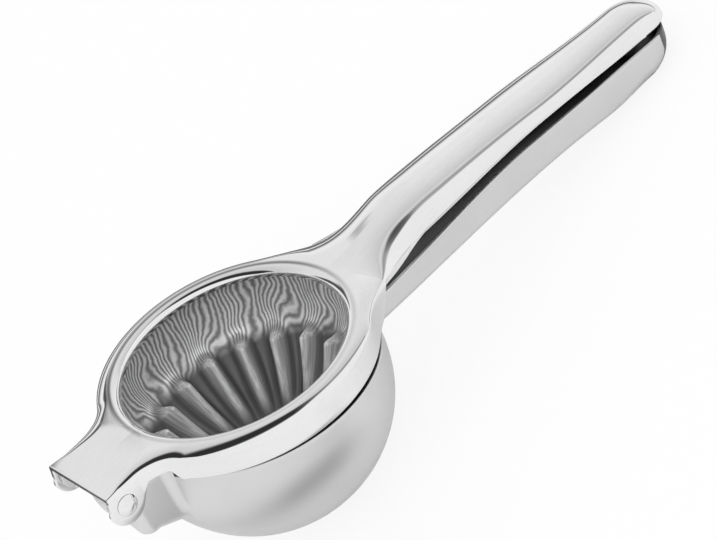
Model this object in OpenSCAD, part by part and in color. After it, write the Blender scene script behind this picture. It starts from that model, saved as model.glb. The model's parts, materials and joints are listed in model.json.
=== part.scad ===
// Hinged lemon squeezer. Two stamped arms turn on one riveted pin: the upper arm carries a ribbed
// press cup in a ring, the lower arm carries the juice bowl. Everything is first drawn in the ring's
// own frame (+X from hinge to handle, ring's top at z = 0, centre of its hole at the origin), then
// laid down on its bowl and its lower handle's end.

/* [Ring] */
// Radius of the hole in the upper arm's ring
hole_r = 31.3; // [28:0.1:36]
// Width of the land from the hole to the inside of the skirt
ring_land = 5.6; // [4.8:0.1:7]
// Thickness of the upper arm's sheet
arm_sheet = 1.2; // [0.8:0.1:1.5]
// Depth of the skirt, from the ring's top to its lower edge
skirt_depth = 9; // [7.5:0.5:12]
// Width of the sloping shoulder outside the land
ring_round = 3.4; // [2.6:0.1:3.8]
// Height by which that shoulder falls to the skirt
ring_fall = 2; // [1.6:0.1:2.4]
// Width over which the sheet is rolled down into a lip at the hole
lip_round = 2.1; // [1.7:0.1:2.6]
// Drop of the sheet's top at the hole's rim
lip_fall = 1.8; // [1:0.1:2.2]
// Depth of the lip's lower edge below the ring's top
lip_deep = 2.6; // [2.4:0.1:3.2]

/* [Press cup] */
// Thickness of the press cup's sheet
cup_sheet = 1.0; // [0.7:0.1:1.3]
// Gap between the press cup and the skirt around it
cup_gap = 0.6; // [0.3:0.1:1]
// Height of the press cup's straight band under the ring
cup_band = 4.3; // [3:0.1:6]
// Number of pressed ribs
rib_count = 18; // [10:1:20]
// Height of a rib at its top end
rib_height = 6.8; // [2:0.2:7.4]
// Half width of a rib at its foot
rib_half = 2.9; // [2:0.1:3.5]
// Angle of the ribs' top ends above straight down, seen from the cup's centre
rib_top_angle = 81; // [60:1:84]
// Angle between the handle and the first rib
rib_turn = 1; // [-18:1:18]

/* [Juice bowl] */
// Thickness of the juice bowl's sheet
bowl_sheet = 0.8; // [0.6:0.1:1.2]
// Gap between the press cup and the bowl around it
bowl_gap = 0.4; // [0.3:0.1:1]
// Depth of the bowl's round centre below the ring's top
bowl_drop = 15.3; // [13.5:0.1:20]
// Slope of the bowl's rim, which leaves a wedge of air below the skirt
rim_slope = 1.86; // [1.5:0.02:3]
// Smallest gap between the skirt and the rim, beside the hinge
rim_gap = 0.1; // [0.05:0.05:0.5]
// Number of drain slots
slot_count = 12; // [6:1:16]
// Width of a drain slot
slot_w = 2.6; // [1.5:0.1:3.2]
// Distance from the bowl's axis to the slots' inner ends
slot_from = 8; // [7.5:0.5:10]
// Distance from the bowl's axis to the slots' outer ends
slot_to = 19; // [14:0.5:24]
// Radius of the drain hole in the middle
drain_r = 2; // [1:0.1:3]

/* [Hinge] */
// Distance from the ring's centre to the hinge pin
pin_x = 49.3; // [48.5:0.1:54]
// Depth of the hinge pin below the ring's top
pin_drop = 6.6; // [6.2:0.1:7.5]
// Radius of the hinge pin
pin_r = 2; // [1.5:0.1:2.2]
// Running gap around the hinge pin
pin_gap = 0.05; // [0.02:0.01:0.1]
// Radius of the pin's domed heads
head_r = 3; // [2.6:0.1:3.5]
// Height of the pin's domed heads
head_h = 1.6; // [1:0.1:2.2]
// Radius of the upper arm's ears
ear_r = 5.6; // [5:0.1:6.2]
// Half width of the tab, outside its side walls
tab_half = 13.4; // [11:0.1:16]
// Length of the tab in front of the pin
tab_nose = 4.6; // [3.5:0.1:5.4]
// Drop of the tab's front edge below the ring's top
tab_droop = 1.3; // [0:0.1:1.5]
// Radius of the waist between the tab and the ring
tab_waist = 13.4; // [10:0.2:18]
// Thickness of the two hinge washers
washer_h = 0.5; // [0.3:0.1:0.8]
// Outer radius of the hinge washers
washer_r = 3.6; // [3.2:0.1:3.8]
// Side play between a washer and the ears beside it
washer_gap = 0.05; // [0.03:0.01:0.1]
// Radius of the lower arm's ears, which stand inside the upper arm's ears
inner_ear_r = 3.9; // [3.4:0.1:4.1]
// Depth of the lower arm's neck below the pin
neck_depth = 14.9; // [12:0.1:17]

/* [Upper handle] */
// Overall length from the ring's centre to the upper handle's tip
handle_reach = 160; // [140:1:190]
// Radius of the waist between the ring and the handle
neck_waist = 44; // [32:1:52]
// Half width of the handle at its neck
neck_half = 12.2; // [10.5:0.1:12.8]
// Half width of the handle about its middle
handle_half = 10.8; // [10:0.1:12.5]
// Half width of the handle where its tip begins
tip_half = 9.4; // [8.6:0.1:11]
// Length of the rounded tip
tip_round = 12; // [9:0.1:16]
// Height of the handle's crown above the ring's top
crown_top = 4.6; // [3.6:0.1:7]
// Height of the crown where the tip begins
tip_top = 2.8; // [1:0.1:4]
// Height of the handle's lower edge where it is highest
edge_high = -0.9; // [-1.4:0.1:0]
// Height of the handle's lower edge at its tip
edge_tip = -2.8; // [-3.4:0.1:-1.6]

/* [Lower handle] */
// Thickness of the lower handle's sheet
rail_sheet = 1.3; // [1:0.1:1.6]
// Half width of the lower handle
rail_half = 12; // [11:0.1:14]
// Gap between the two handles at their tips
grip_gap = 1.3; // [1:0.1:5]
// Depth of the lower handle's walls where it is held
rail_depth = 9.4; // [8:0.1:12]
// Distance by which the upper handle reaches past the lower one
rail_short = 2.5; // [1:0.5:12]
// Radius of the corner between the lower handle's walls and web
rail_round = 2; // [1.8:0.1:3]
// Gap left for the welds at the bowl and at the press cup
weld_gap = 0.1; // [0.05:0.05:0.3]

/* [Hidden] */
$fn = 96;

// Steps along the stamped sheets
TAB_STEPS = 4;
RIM_STEPS = 5;
OUT_STEPS = 5;
RING_STEPS = 24;
HANDLE_STEPS = 14;
TIP_STEPS = 8;
// Points across a sheet: on its flat stretch, and around its rounding
FLAT_STEPS = 6;
ROUND_STEPS = 6;
// Steps of the press cup, down its side and around each rib
CUP_STEPS = 12;
BAND_STEPS = 2;
RIB_OFFSETS = [-0.5, -0.34, -0.24, -0.12, 0, 0.12, 0.24, 0.34];

// Angle over which a rib rises from the wall at its top end, and angle at which it has faded out
RIB_END = 10;
RIB_FADE = 20;
// Exponents of the curves that round the sheets, the ring's shoulder and the lip: 2 is an ellipse,
// and less slopes more evenly
ROUND_POWER = 2;
SLOPING = 1.5;
LIP_POWER = 1.7;
// Distances from the hole's rim of the lip's first points
LIP_NEAR = [0, 0.05, 0.4];
// The same for the outline of the handles' ends, seen from above
TIP_POWER = 2.4;
// Part of the handle's half width that its crown's rounding may take
CROWN_SHARE = 0.9;
// Straight wall below the crown's rounding
EDGE_WALL = 0.3;
// The lower handle's corner is this much wider where its boat-shaped end begins
RAIL_BLEND = 3;
// Ears are coined this much thicker than the sheet, on each side
EAR_COIN = 0.05;
// Distance past a surface by which a cutting tool reaches
CUT = 1;

// Upper handle's crown is full this far past the neck, and starts to fall this far after that
CROWN_RISE = 9.5;
CROWN_FLAT = 5;
// Its lower edge starts this far below its highest point, which is at this share of its length
EDGE_START = 2.5;
HIGH_SHARE = 0.52;
// Part of the neck's waist over which the skirt's edge climbs to the handle's edge
CLIMB_FROM = 0.22;
CLIMB_TO = 0.5;

// Tab: width of its rounding at the front edge, in front of and behind the ears, and where it meets
// the ring, how far behind the pin the first of these two lies, and how far inside and outside the
// ring's radius it changes
TAB_ROUND_FRONT = 0.7;
TAB_ROUND_EAR = 2.6;
TAB_ROUND_BACK = 3.4;
TAB_ROUND_RING = 4.4;
TAB_ROUND_PIN = 2;
TAB_ROUND_IN = 4;
TAB_ROUND_OUT = 2;
// Its side walls' lower edge: its height beside the ring, its rise and that rise's length at the
// ears, and how far inside the skirt it leaves the ring's skirt
TAB_EDGE = -5.2;
TAB_EDGE_RISE = 0.9;
TAB_EDGE_RUN = 2;
TAB_EDGE_IN = 2.6;
TAB_EDGE_OUT = 0.6;

// Web between an ear and the tab: gap to the tab's front, depth of its top below the tab, its lowest
// point and reach beside the waist, and where it meets the ear's circle, as parts of the ear's radius
WEB_FRONT = 0.1;
WEB_TOP = 1.1;
WEB_LOW = -6;
WEB_BACK = 1.8;
WEB_EAR = [0.85, -0.52];

// Neck seen from the side, from the pin: front wall, its heights, and the sloping lower corner
NECK_FRONT = 0.6;
NECK_HIGH = -2;
NECK_KNEE = -7.4;
NECK_CORNER = [3.8, 1.2];
NECK_FLOOR = 5.2;
// The neck's back parts, inside the bowl's outline, and its top behind the ears
NECK_DEEP = 6;
NECK_IN = 8;
NECK_RIM = 2;
NECK_LAP = 1;
NECK_SHOULDER = [3.4, 1.5];
// The open top of the neck reaches this far in front of and below the pin, and is this large
MOUTH_AT = [10, 7];
MOUTH = [40, 20];

// Lower handle's top edge: where it starts inside the ring, its drop below the skirt there, where it
// levels out before the highest point, and its last rise
RAIL_TOP_IN = 13;
RAIL_TOP_DROP = 0.9;
RAIL_TOP_EARLY = 6;
RAIL_TOP_RISE = 0.2;
// Its underside: where it starts inside the ring, how much deeper it is there, and its last drop
RAIL_LOW_IN = 18;
RAIL_LOW_DEEP = 3.9;
RAIL_LOW_DROP = 1.2;
// Length over which its corner widens before the end, and part of the end over which it closes
RAIL_BLEND_RUN = 18;
RAIL_BLEND_TO = 0.8;

// Press cup: height of a rib where it fades out, as part of its full height, exponent of the rib's
// cross-section, and how far off the pole its last row of points lies
RIB_LEAST = 0.1;
RIB_POWER = 0.8;
POLE = 2;

skirt_in = hole_r + ring_land;
ring_r = skirt_in + arm_sheet;
cup_out = skirt_in - cup_gap;
cup_in = cup_out - cup_sheet;
cup_top = -arm_sheet - under_fall(cup_out) - weld_gap;
cup_z = -arm_sheet - cup_band;
bowl_in = cup_out + bowl_gap;
bowl_r = bowl_in + bowl_sheet;

pin_at = [-pin_x, -pin_drop];
tab_front = pin_x + tab_nose;
ear_out = tab_half + EAR_COIN;
ear_in = tab_half - arm_sheet - EAR_COIN;
neck_out = ear_in - washer_h - 2 * washer_gap;

// Distance along X at which a waist of radius w leaves a straight side of half width h
function waist_x(w, h) = sqrt(pow(ring_r + w, 2) - pow(h + w, 2));
tab_x = waist_x(tab_waist, tab_half);
neck_x = waist_x(neck_waist, neck_half);
tip_x = handle_reach - tip_round;
root_x = hole_r;
crown_x = neck_x + CROWN_RISE;
high_x = mix(neck_x, tip_x, HIGH_SHARE);

rail_end = handle_reach - rail_short;
rail_tip_x = rail_end - tip_round;
rail_top_tip = edge_tip - grip_gap;
rail_low = rail_top_tip - rail_depth;

function mix(a, b, t) = a + (b - a) * t;
function unit(t) = max(0, min(1, t));
function smooth(t) = let (u = unit(t)) u * u * (3 - 2 * u);
function smoother(t) = let (u = unit(t)) u * u * u * (u * (6 * u - 15) + 10);
function ramp(x, from, to, a, b) = mix(a, b, smooth((x - from) / (to - from)));
function polar(r, angle) = [r * cos(angle), r * sin(angle)];

// Share of a rounding's depth reached at a share u of its width
function rounding(u, power) = 1 - pow(1 - pow(unit(u), power), 1 / power);

// How far the ring's underside falls at a radius, beside its skirt
function under_fall(r) = let (wide = ring_round - arm_sheet)
    (ring_fall - arm_sheet) * rounding((r - skirt_in + wide) / wide, SLOPING);

// Upper handle: half width, top and lower edge along X
function handle_w(x) = x < high_x ? ramp(x, neck_x, high_x, neck_half, handle_half)
                                  : ramp(x, high_x, tip_x, handle_half, tip_half);
function handle_top(x) = x < crown_x ? crown_top * smoother((x - root_x) / (crown_x - root_x))
                                     : ramp(x, crown_x + CROWN_FLAT, tip_x, crown_top, tip_top);
function handle_edge(x) = x < high_x ? ramp(x, root_x, high_x, edge_high - EDGE_START, edge_high)
                                     : ramp(x, high_x, tip_x, edge_high, edge_tip);

// Lower handle: top edge and underside along X
function rail_top(x) = ramp(x, ring_r - RAIL_TOP_IN, high_x - RAIL_TOP_EARLY,
                            -skirt_depth - RAIL_TOP_DROP, rail_top_tip - RAIL_TOP_RISE)
                       + ramp(x, high_x, rail_tip_x, 0, RAIL_TOP_RISE);
function rail_bottom(x) = x < high_x ? ramp(x, ring_r - RAIL_LOW_IN, high_x, rail_low - RAIL_LOW_DEEP, rail_low)
                                     : ramp(x, high_x, rail_tip_x, rail_low, rail_low - RAIL_LOW_DROP);

// Point on the outline of a handle's round end that starts at x with half width w, for t from 0 to 1
function tip_point(x, w, t) = [x + tip_round * pow(sin(90 * t), 2 / TIP_POWER),
                               t == 1 ? 0 : w * pow(cos(90 * t), 2 / TIP_POWER)];

// A station says where a sheet is cut across: from q at the middle or at the hole, out to p on the
// outline. The sheet is flat at height z up to its rounding, which is a wide and h deep, and then
// goes straight to its edge. mid tells whether q lies on the centre line, and power is the exponent
// of the rounding.
function station(q, p, z, a, h, edge, mid, power = ROUND_POWER) = [q, p, z, a, h, edge, mid, power];

// Point at a distance along the hole's rim and the centre line; 0 is where the centre line meets the
// hole, positive distances go outwards along the centre line
function inner_point(d, flip) = let (p = d >= 0 ? [hole_r + d, 0] : polar(hole_r, -d * 180 / PI / hole_r))
                                [flip * p[0], p[1]];

function tab_z(x) = -tab_droop * smooth((x - ring_r) / (tab_front - ring_r));
function tab_round(x) = x < ring_r + TAB_ROUND_OUT
    ? ramp(x, ring_r - TAB_ROUND_IN, ring_r + TAB_ROUND_OUT, ring_round, TAB_ROUND_RING)
    : lookup(x, [[ring_r + TAB_ROUND_OUT, TAB_ROUND_RING], [tab_x, TAB_ROUND_BACK],
                 [pin_x - TAB_ROUND_PIN, TAB_ROUND_EAR], [tab_front, TAB_ROUND_FRONT]]);
function tab_deep(x) = min(tab_round(x), ring_fall);
function tab_edge(x) = ramp(x, skirt_in - TAB_EDGE_IN, skirt_in - TAB_EDGE_OUT, -skirt_depth, TAB_EDGE)
                       + ramp(x, tab_x - TAB_EDGE_RUN, tab_x, 0, TAB_EDGE_RISE);

tab_angle = atan2(tab_half + tab_waist, tab_x);
neck_angle = atan2(neck_half + neck_waist, neck_x);

// Distances from the hole's rim at which the sheet gets points of its lip, and the distances of a
// waist's stations from -rim, on the hole's rim, to out, on the centre line
LIP = concat(LIP_NEAR, [arm_sheet, mix(arm_sheet, lip_round, 1 / 3), lip_round]);
function waist_steps(rim, out) = concat(
    [for (i = [0 : RIM_STEPS - 1]) mix(-rim, 0, i / RIM_STEPS)], LIP,
    [for (i = [1 : OUT_STEPS]) mix(lip_round, out, i / OUT_STEPS)]);

// Straight part of the tab, its waist, the ring, the handle's waist, the handle and its tip
TAB = [for (i = [0 : TAB_STEPS]) let (x = mix(tab_front, tab_x, i / TAB_STEPS))
    station([-x, 0], [-x, tab_half], tab_z(x), tab_round(x), tab_deep(x), tab_edge(x), 1)];
TAB_WAIST = let (rim = hole_r * tab_angle * PI / 180, out = tab_x - hole_r, steps = waist_steps(rim, out))
    [for (i = [len(steps) - 2 : -1 : 0])
        let (d = steps[i], s = (out - d) / (out + rim), q = inner_point(d, -1),
             p = [-tab_x, tab_half + tab_waist] + polar(tab_waist, mix(270, 360 - tab_angle, s)))
        station(q, p, tab_z(-p[0]), tab_round(-p[0]), tab_deep(-p[0]), tab_edge(-p[0]), d >= 0 ? 1 : 0,
                mix(ROUND_POWER, SLOPING, smooth(s)))];
RING = [for (i = [1 : RING_STEPS - 1]) let (g = mix(180 - tab_angle, neck_angle, i / RING_STEPS))
    station(polar(hole_r, g), polar(ring_r, g), 0, ring_round, ring_fall, -skirt_depth, 0, SLOPING)];
NECK_WAIST = let (rim = hole_r * neck_angle * PI / 180, out = neck_x - hole_r)
    [for (d = waist_steps(rim, out))
        let (s = (d + rim) / (out + rim), q = inner_point(d, 1),
             p = [neck_x, neck_half + neck_waist] + polar(neck_waist, mix(180 + neck_angle, 270, s)),
             deep = handle_top(neck_x) - handle_edge(neck_x) - EDGE_WALL)
        station(q, p, d > 0 ? handle_top(q[0]) : 0, mix(ring_round, CROWN_SHARE * norm(p - q), smooth(s)),
                mix(ring_fall, deep, smooth(s)),
                ramp(s, CLIMB_FROM, CLIMB_TO, -skirt_depth, handle_edge(p[0])), d >= 0 ? 1 : 0,
                mix(SLOPING, ROUND_POWER, smooth(s)))];
HANDLE = [for (i = [1 : HANDLE_STEPS]) let (x = mix(neck_x, tip_x, i / HANDLE_STEPS), w = handle_w(x))
    station([x, 0], [x, w], handle_top(x), CROWN_SHARE * w, handle_top(x) - handle_edge(x) - EDGE_WALL,
            handle_edge(x), 1)];
TIP = [for (i = [1 : TIP_STEPS]) let (p = tip_point(tip_x, tip_half, i / TIP_STEPS))
    station([tip_x, 0], p, handle_top(tip_x), CROWN_SHARE * norm(p - [tip_x, 0]),
            handle_top(tip_x) - edge_tip - EDGE_WALL, edge_tip, 1)];
ARM = concat(TAB, TAB_WAIST, RING, NECK_WAIST, HANDLE, TIP);

// Lower handle, from inside the bowl's outline to its boat-shaped end
rail_from = sqrt(pow(bowl_r, 2) - pow(rail_half, 2)) - CUT;
RAIL_SIDE = [for (i = [0 : HANDLE_STEPS]) let (x = mix(rail_from, rail_tip_x, i / HANDLE_STEPS),
        r = ramp(x, rail_tip_x - RAIL_BLEND_RUN, rail_tip_x, rail_round, rail_round + RAIL_BLEND))
    station([x, 0], [x, rail_half], rail_bottom(x), r, r, rail_top(x), 1)];
RAIL_TIP = [for (i = [1 : TIP_STEPS]) let (t = i / TIP_STEPS, p = tip_point(rail_tip_x, rail_half, t))
    station([rail_tip_x, 0], p, rail_bottom(rail_tip_x),
            ramp(t, 0, RAIL_BLEND_TO, rail_round + RAIL_BLEND, CROWN_SHARE * tip_round),
            ramp(t, 0, RAIL_BLEND_TO, rail_round + RAIL_BLEND, rail_depth), rail_top(rail_tip_x), 1)];
RAIL = concat(RAIL_SIDE, RAIL_TIP);

// Distance from q, on or near the hole's rim, at which a section gets its point k on the lip
function lip_step(q, way, k) =
    let (gap = norm(q) - hole_r, goal = gap < LIP[1] / 2 ? LIP[k] : mix(gap, lip_round, k / (FLAT_STEPS - 1)),
         b = q * way)
    sqrt(b * b + pow(hole_r + goal, 2) - q * q) - b;

// Outline across a sheet at a station: distance from q and height, for the face that is inset by t
function face_points(s, t, up) =
    let (way = (s[1] - s[0]) / norm(s[1] - s[0]), reach = norm(s[1] - s[0]) - t, a = max(s[3] - t, 0.2),
         h = max(s[4] - t, 0.2), z = s[2] - up * t, bend = 2 / s[7],
         on_lip = up > 0 && norm(s[0]) < hole_r + lip_round - LIP[1] / 2)
    concat(
        [for (k = [0 : FLAT_STEPS - 1]) [on_lip ? lip_step(s[0], way, k) : (reach - a) * k / FLAT_STEPS, z]],
        [for (k = [0 : ROUND_STEPS]) let (c = 90 * k / ROUND_STEPS)
            [reach - a + a * pow(sin(c), bend), z - up * (h - h * pow(max(cos(c), 0), bend))]],
        [[reach, s[5]]]);

// How far the lip lowers a face at a point; the face is level again lip_round from the hole's rim, and
// reaches its full depth at the distance start from it
function lip_drop(p, start, depth) =
    depth * rounding((lip_round - norm(p) + hole_r) / (lip_round - start), LIP_POWER);

function loop_points(s, t, up) =
    let (way = (s[1] - s[0]) / norm(s[1] - s[0]), outer = face_points(s, 0, up),
         inner = face_points(s, t, up), n = len(outer), flat = FLAT_STEPS + ROUND_STEPS)
    [for (k = [0 : 2 * n - 1]) let (i = k < n ? k : 2 * n - 1 - k, f = k < n ? outer[i] : inner[i],
            at = s[0] + way * f[0],
            drop = up < 0 || i > flat ? 0 : k < n ? lip_drop(at, 0, lip_fall)
                                                  : lip_drop(at, t, lip_deep - t))
        [at[0], at[1], f[1] - drop]];

// The lying pose: the bowl and the lower handle's end both touch the floor
function lie_angle_for(x, z) = asin(bowl_r / norm([x, z + bowl_drop])) + atan2(z + bowl_drop, x);
lie_angle = min([for (s = RAIL) if (s[0][0] > high_x) for (p = loop_points(s, rail_sheet, -1))
    lie_angle_for(p[0], p[2])]);

// A sheet that runs along its stations and is mirrored about y = 0. Points on the centre line belong
// to both halves, and at a round tip q is the same point for all stations.
module sheet(stations, t, up) {
    count = len(stations);
    loops = [for (s = stations) loop_points(s, t, up)];
    m = len(loops[0]);
    last = m - 1;
    tip = min([for (i = [0 : count - 1]) if (stations[i][0] == stations[count - 1][0]) i]);
    function index(half, i, k) =
        let (on_q = k == 0 || k == last, row = on_q && i > tip ? tip : i,
             shared = i == count - 1 || (on_q && stations[i][6] == 1))
        (shared ? 0 : half * count * m) + row * m + k;
    points = concat([for (l = loops) each l], [for (l = loops) for (p = l) [p[0], -p[1], p[2]]]);
    function turn(face, way) = way ? face : [face[2], face[1], face[0]];
    sides = [for (half = [0, 1]) for (i = [0 : count - 2]) for (k = [0 : last])
        let (next = (k + 1) % m, way = (half == 0) == (up > 0))
        if (k != last || stations[i][6] == 0 || stations[i + 1][6] == 0)
            for (f = [[index(half, i, k), index(half, i, next), index(half, i + 1, next)],
                      [index(half, i, k), index(half, i + 1, next), index(half, i + 1, k)]])
                if (f[0] != f[1] && f[1] != f[2] && f[2] != f[0]) turn(f, way)];
    caps = [for (half = [0, 1]) for (k = [0 : m / 2 - 2])
        let (way = (half == 0) == (up > 0))
            for (f = [[index(half, 0, k), index(half, 0, last - k), index(half, 0, last - k - 1)],
                      [index(half, 0, k), index(half, 0, last - k - 1), index(half, 0, k + 1)]])
                turn(f, way)];
    polyhedron(points, concat(sides, caps), convexity = 8);
}

// Lays its children down as the squeezer lies on a table
module lie_down() {
    translate([bowl_drop * sin(lie_angle), 0, bowl_r + bowl_drop * cos(lie_angle)])
        rotate([0, lie_angle, 0]) children();
}

// Turns a drawing in X and height into a plate that reaches from y0 to y1
module plate_y(y0, y1) {
    translate([0, y1, 0]) rotate([90, 0, 0]) linear_extrude(y1 - y0) children();
}

// Cylinder along Y around the pin's axis
module on_pin(r, y0, y1) {
    translate([pin_at[0], y1, pin_at[1]]) rotate([90, 0, 0]) cylinder(r = r, h = y1 - y0);
}

// One ear of the upper arm: a round plate, and the web that joins it to the tab's side wall
module ear_outline() {
    front = -tab_front + WEB_FRONT;
    back = -tab_x + WEB_BACK;
    top = -tab_droop - WEB_TOP;
    translate(pin_at) circle(r = ear_r);
    polygon([[front, top], [front, pin_at[1]], pin_at, pin_at + ear_r * WEB_EAR, [back, WEB_LOW], [back, top]]);
}

// Lower arm's neck seen from the side, set in by a wall of thickness t
module neck_outline(t) {
    front = pin_at[0] + t;
    low = pin_at[1] - neck_depth + t;
    shoulder = pin_at[1] + NECK_SHOULDER[1];
    polygon([[front + NECK_FRONT, pin_at[1] + NECK_KNEE], [front + NECK_CORNER[0], low + NECK_CORNER[1]],
             [front + NECK_FLOOR, low], [-bowl_r + NECK_IN, low - NECK_DEEP],
             [-bowl_r + NECK_IN, -skirt_depth - NECK_LAP], [-bowl_r + NECK_RIM, -skirt_depth - NECK_LAP],
             [-skirt_in - NECK_SHOULDER[1], shoulder], [pin_at[0] + NECK_SHOULDER[0], shoulder],
             [front + NECK_FRONT, pin_at[1] + NECK_HIGH]]);
}

module slot_cut() {
    middle = (slot_from + slot_to) / 2;
    run = slot_to - slot_from - slot_w;
    translate([middle, 0]) square([run, slot_w], center = true);
    translate([middle - run / 2, 0]) circle(d = slot_w);
    translate([middle + run / 2, 0]) circle(d = slot_w);
}

// Everything inside a radius around the bowl's round part and its straight lip
module bowl_core(r) {
    translate([0, 0, -bowl_drop]) {
        sphere(r = r);
        rotate([0, rim_slope, 0]) cylinder(r = r, h = bowl_drop);
    }
}

// Half of the bowl's wall, drawn for turning around its axis
module bowl_wall_outline(lip) {
    difference() {
        circle(r = bowl_r);
        circle(r = bowl_in);
        translate([-2 * bowl_r, 0]) square([4 * bowl_r, 2 * bowl_r]);
        translate([-2 * bowl_r, -2 * bowl_r]) square([2 * bowl_r, 4 * bowl_r]);
    }
    translate([bowl_in, 0]) square([bowl_sheet, lip]);
}

// Press cup: height of a rib's ridge above the wall at an angle above straight down, and of its
// cross-section at a distance from the ridge
function rib_run(angle) = rib_height * smooth((rib_top_angle - angle) / RIB_END)
                          * ramp(angle, RIB_FADE, rib_top_angle - RIB_END, RIB_LEAST, 1);
function rib_shape(off) = off >= 1 ? 0 : pow(cos(90 * off), RIB_POWER);
function cup_rib(angle, turn, r) =
    let (off = abs(turn) * PI / 180 * r * sin(angle) / rib_half) rib_run(angle) * rib_shape(off);

module press_arm() {
    color("silver") lie_down() difference() {
        union() {
            sheet(ARM, arm_sheet, 1);
            for (side = [-1, 1])
                plate_y(side > 0 ? ear_in : -ear_out, side > 0 ? ear_out : -ear_in) ear_outline();
        }
        on_pin(pin_r + pin_gap, -ear_out - CUT, ear_out + CUT);
    }
}

module press_cup() {
    turns = [for (k = [0 : rib_count - 1]) for (o = RIB_OFFSETS)
        [rib_turn + (k + o) * 360 / rib_count, o * 360 / rib_count]];
    n = len(turns);
    // Rows of each face from the rim down: the straight band, then the round wall to just off the pole
    function wall_point(row, t, r) = row < BAND_STEPS
        ? [r * cos(t[0]), r * sin(t[0]), mix(cup_top, cup_z, row / BAND_STEPS)]
        : let (angle = mix(90, POLE, (row - BAND_STEPS) / CUP_STEPS), d = r - cup_rib(angle, t[1], r))
          [d * sin(angle) * cos(t[0]), d * sin(angle) * sin(t[0]), cup_z - d * cos(angle)];
    rows = BAND_STEPS + CUP_STEPS;
    inner = [for (row = [0 : rows]) for (t = turns) wall_point(row, t, cup_in)];
    outer = [for (row = [0 : rows]) for (t = turns) wall_point(row, t, cup_out)];
    base = (rows + 1) * n;
    poles = [for (r = [cup_in, cup_out]) [0, 0, cup_z - r + cup_rib(POLE, 0, r)]];
    faces = concat(
        [for (row = [0 : rows - 1]) for (i = [0 : n - 1]) let (a = row * n + i, b = row * n + (i + 1) % n)
            each [[a, a + n, b + n], [a, b + n, b]]],
        [for (row = [0 : rows - 1]) for (i = [0 : n - 1])
            let (a = base + row * n + i, b = base + row * n + (i + 1) % n)
            each [[a, b + n, a + n], [a, b, b + n]]],
        [for (i = [0 : n - 1]) let (j = (i + 1) % n) each [[i, base + j, base + i], [i, j, base + j]]],
        [for (i = [0 : n - 1]) let (j = (i + 1) % n)
            each [[rows * n + i, 2 * base, rows * n + j],
                  [base + rows * n + i, base + rows * n + j, 2 * base + 1]]]);
    color("gainsboro") lie_down() polyhedron(concat(inner, outer, poles), faces, convexity = 10);
}

module juice_bowl() {
    lip = bowl_drop - skirt_depth - rim_gap - ring_r * tan(rim_slope);
    color("lightgray") lie_down() difference() {
        union() {
            translate([0, 0, -bowl_drop]) rotate([0, rim_slope, 0])
                rotate_extrude() bowl_wall_outline(lip);
            difference() {
                union() {
                    plate_y(-neck_out, neck_out) neck_outline(0);
                    on_pin(inner_ear_r, -neck_out, neck_out);
                }
                plate_y(-neck_out + bowl_sheet, neck_out - bowl_sheet) neck_outline(bowl_sheet);
                plate_y(-neck_out + bowl_sheet, neck_out - bowl_sheet)
                    translate(pin_at - MOUTH_AT) square(MOUTH);
                bowl_core(bowl_in + bowl_sheet / 2);
            }
        }
        on_pin(pin_r + pin_gap, -neck_out - CUT, neck_out + CUT);
        translate([0, 0, -bowl_drop - bowl_r - CUT]) {
            cylinder(r = drain_r, h = bowl_r);
            for (k = [1 : slot_count])
                rotate([0, 0, (k + 0.5) * 360 / slot_count]) linear_extrude(bowl_r) slot_cut();
        }
    }
}

module lower_handle() {
    color("darkgray") lie_down() difference() {
        sheet(RAIL, rail_sheet, -1);
        bowl_core(bowl_r + weld_gap);
    }
}

module hinge_pin() {
    head_round = (pow(head_r, 2) + pow(head_h, 2)) / (2 * head_h);
    color("whitesmoke") lie_down() {
        on_pin(pin_r, -ear_out - washer_gap, ear_out + washer_gap);
        for (side = [-1, 1])
            translate([pin_at[0], side * (ear_out + washer_gap), pin_at[1]]) rotate([-90 * side, 0, 0])
                rotate_extrude() intersection() {
                    translate([0, head_h - head_round]) circle(r = head_round);
                    square([head_r, head_h]);
                }
    }
}

module hinge_washers() {
    color("gray") lie_down() for (side = [-1, 1]) {
        y0 = side > 0 ? neck_out + washer_gap : -neck_out - washer_gap - washer_h;
        difference() {
            on_pin(washer_r, y0, y0 + washer_h);
            on_pin(pin_r + pin_gap, y0 - CUT, y0 + washer_h + CUT);
        }
    }
}

press_arm();
press_cup();
juice_bowl();
lower_handle();
hinge_pin();
hinge_washers();
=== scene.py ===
import json
import math
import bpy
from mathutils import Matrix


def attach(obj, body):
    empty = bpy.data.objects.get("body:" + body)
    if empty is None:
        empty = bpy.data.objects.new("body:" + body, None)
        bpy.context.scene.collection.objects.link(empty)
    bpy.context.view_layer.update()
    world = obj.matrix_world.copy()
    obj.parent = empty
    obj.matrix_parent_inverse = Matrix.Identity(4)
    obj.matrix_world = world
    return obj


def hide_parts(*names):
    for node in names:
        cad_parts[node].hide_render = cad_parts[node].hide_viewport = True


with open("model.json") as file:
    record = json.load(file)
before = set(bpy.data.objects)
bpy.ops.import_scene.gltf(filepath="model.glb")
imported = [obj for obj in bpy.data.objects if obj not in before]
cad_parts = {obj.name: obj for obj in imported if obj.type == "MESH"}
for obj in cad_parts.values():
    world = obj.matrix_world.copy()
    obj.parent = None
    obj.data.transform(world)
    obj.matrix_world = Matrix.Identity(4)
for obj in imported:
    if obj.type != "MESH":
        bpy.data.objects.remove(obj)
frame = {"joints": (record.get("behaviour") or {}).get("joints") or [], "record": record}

from types import SimpleNamespace

import bmesh
import bpy
import numpy as np
from bpy.props import (
    FloatProperty,
    FloatVectorProperty,
    IntProperty,
    PointerProperty,
)
from bpy.types import Operator, Panel, PropertyGroup
from mathutils import Matrix, Vector

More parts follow.
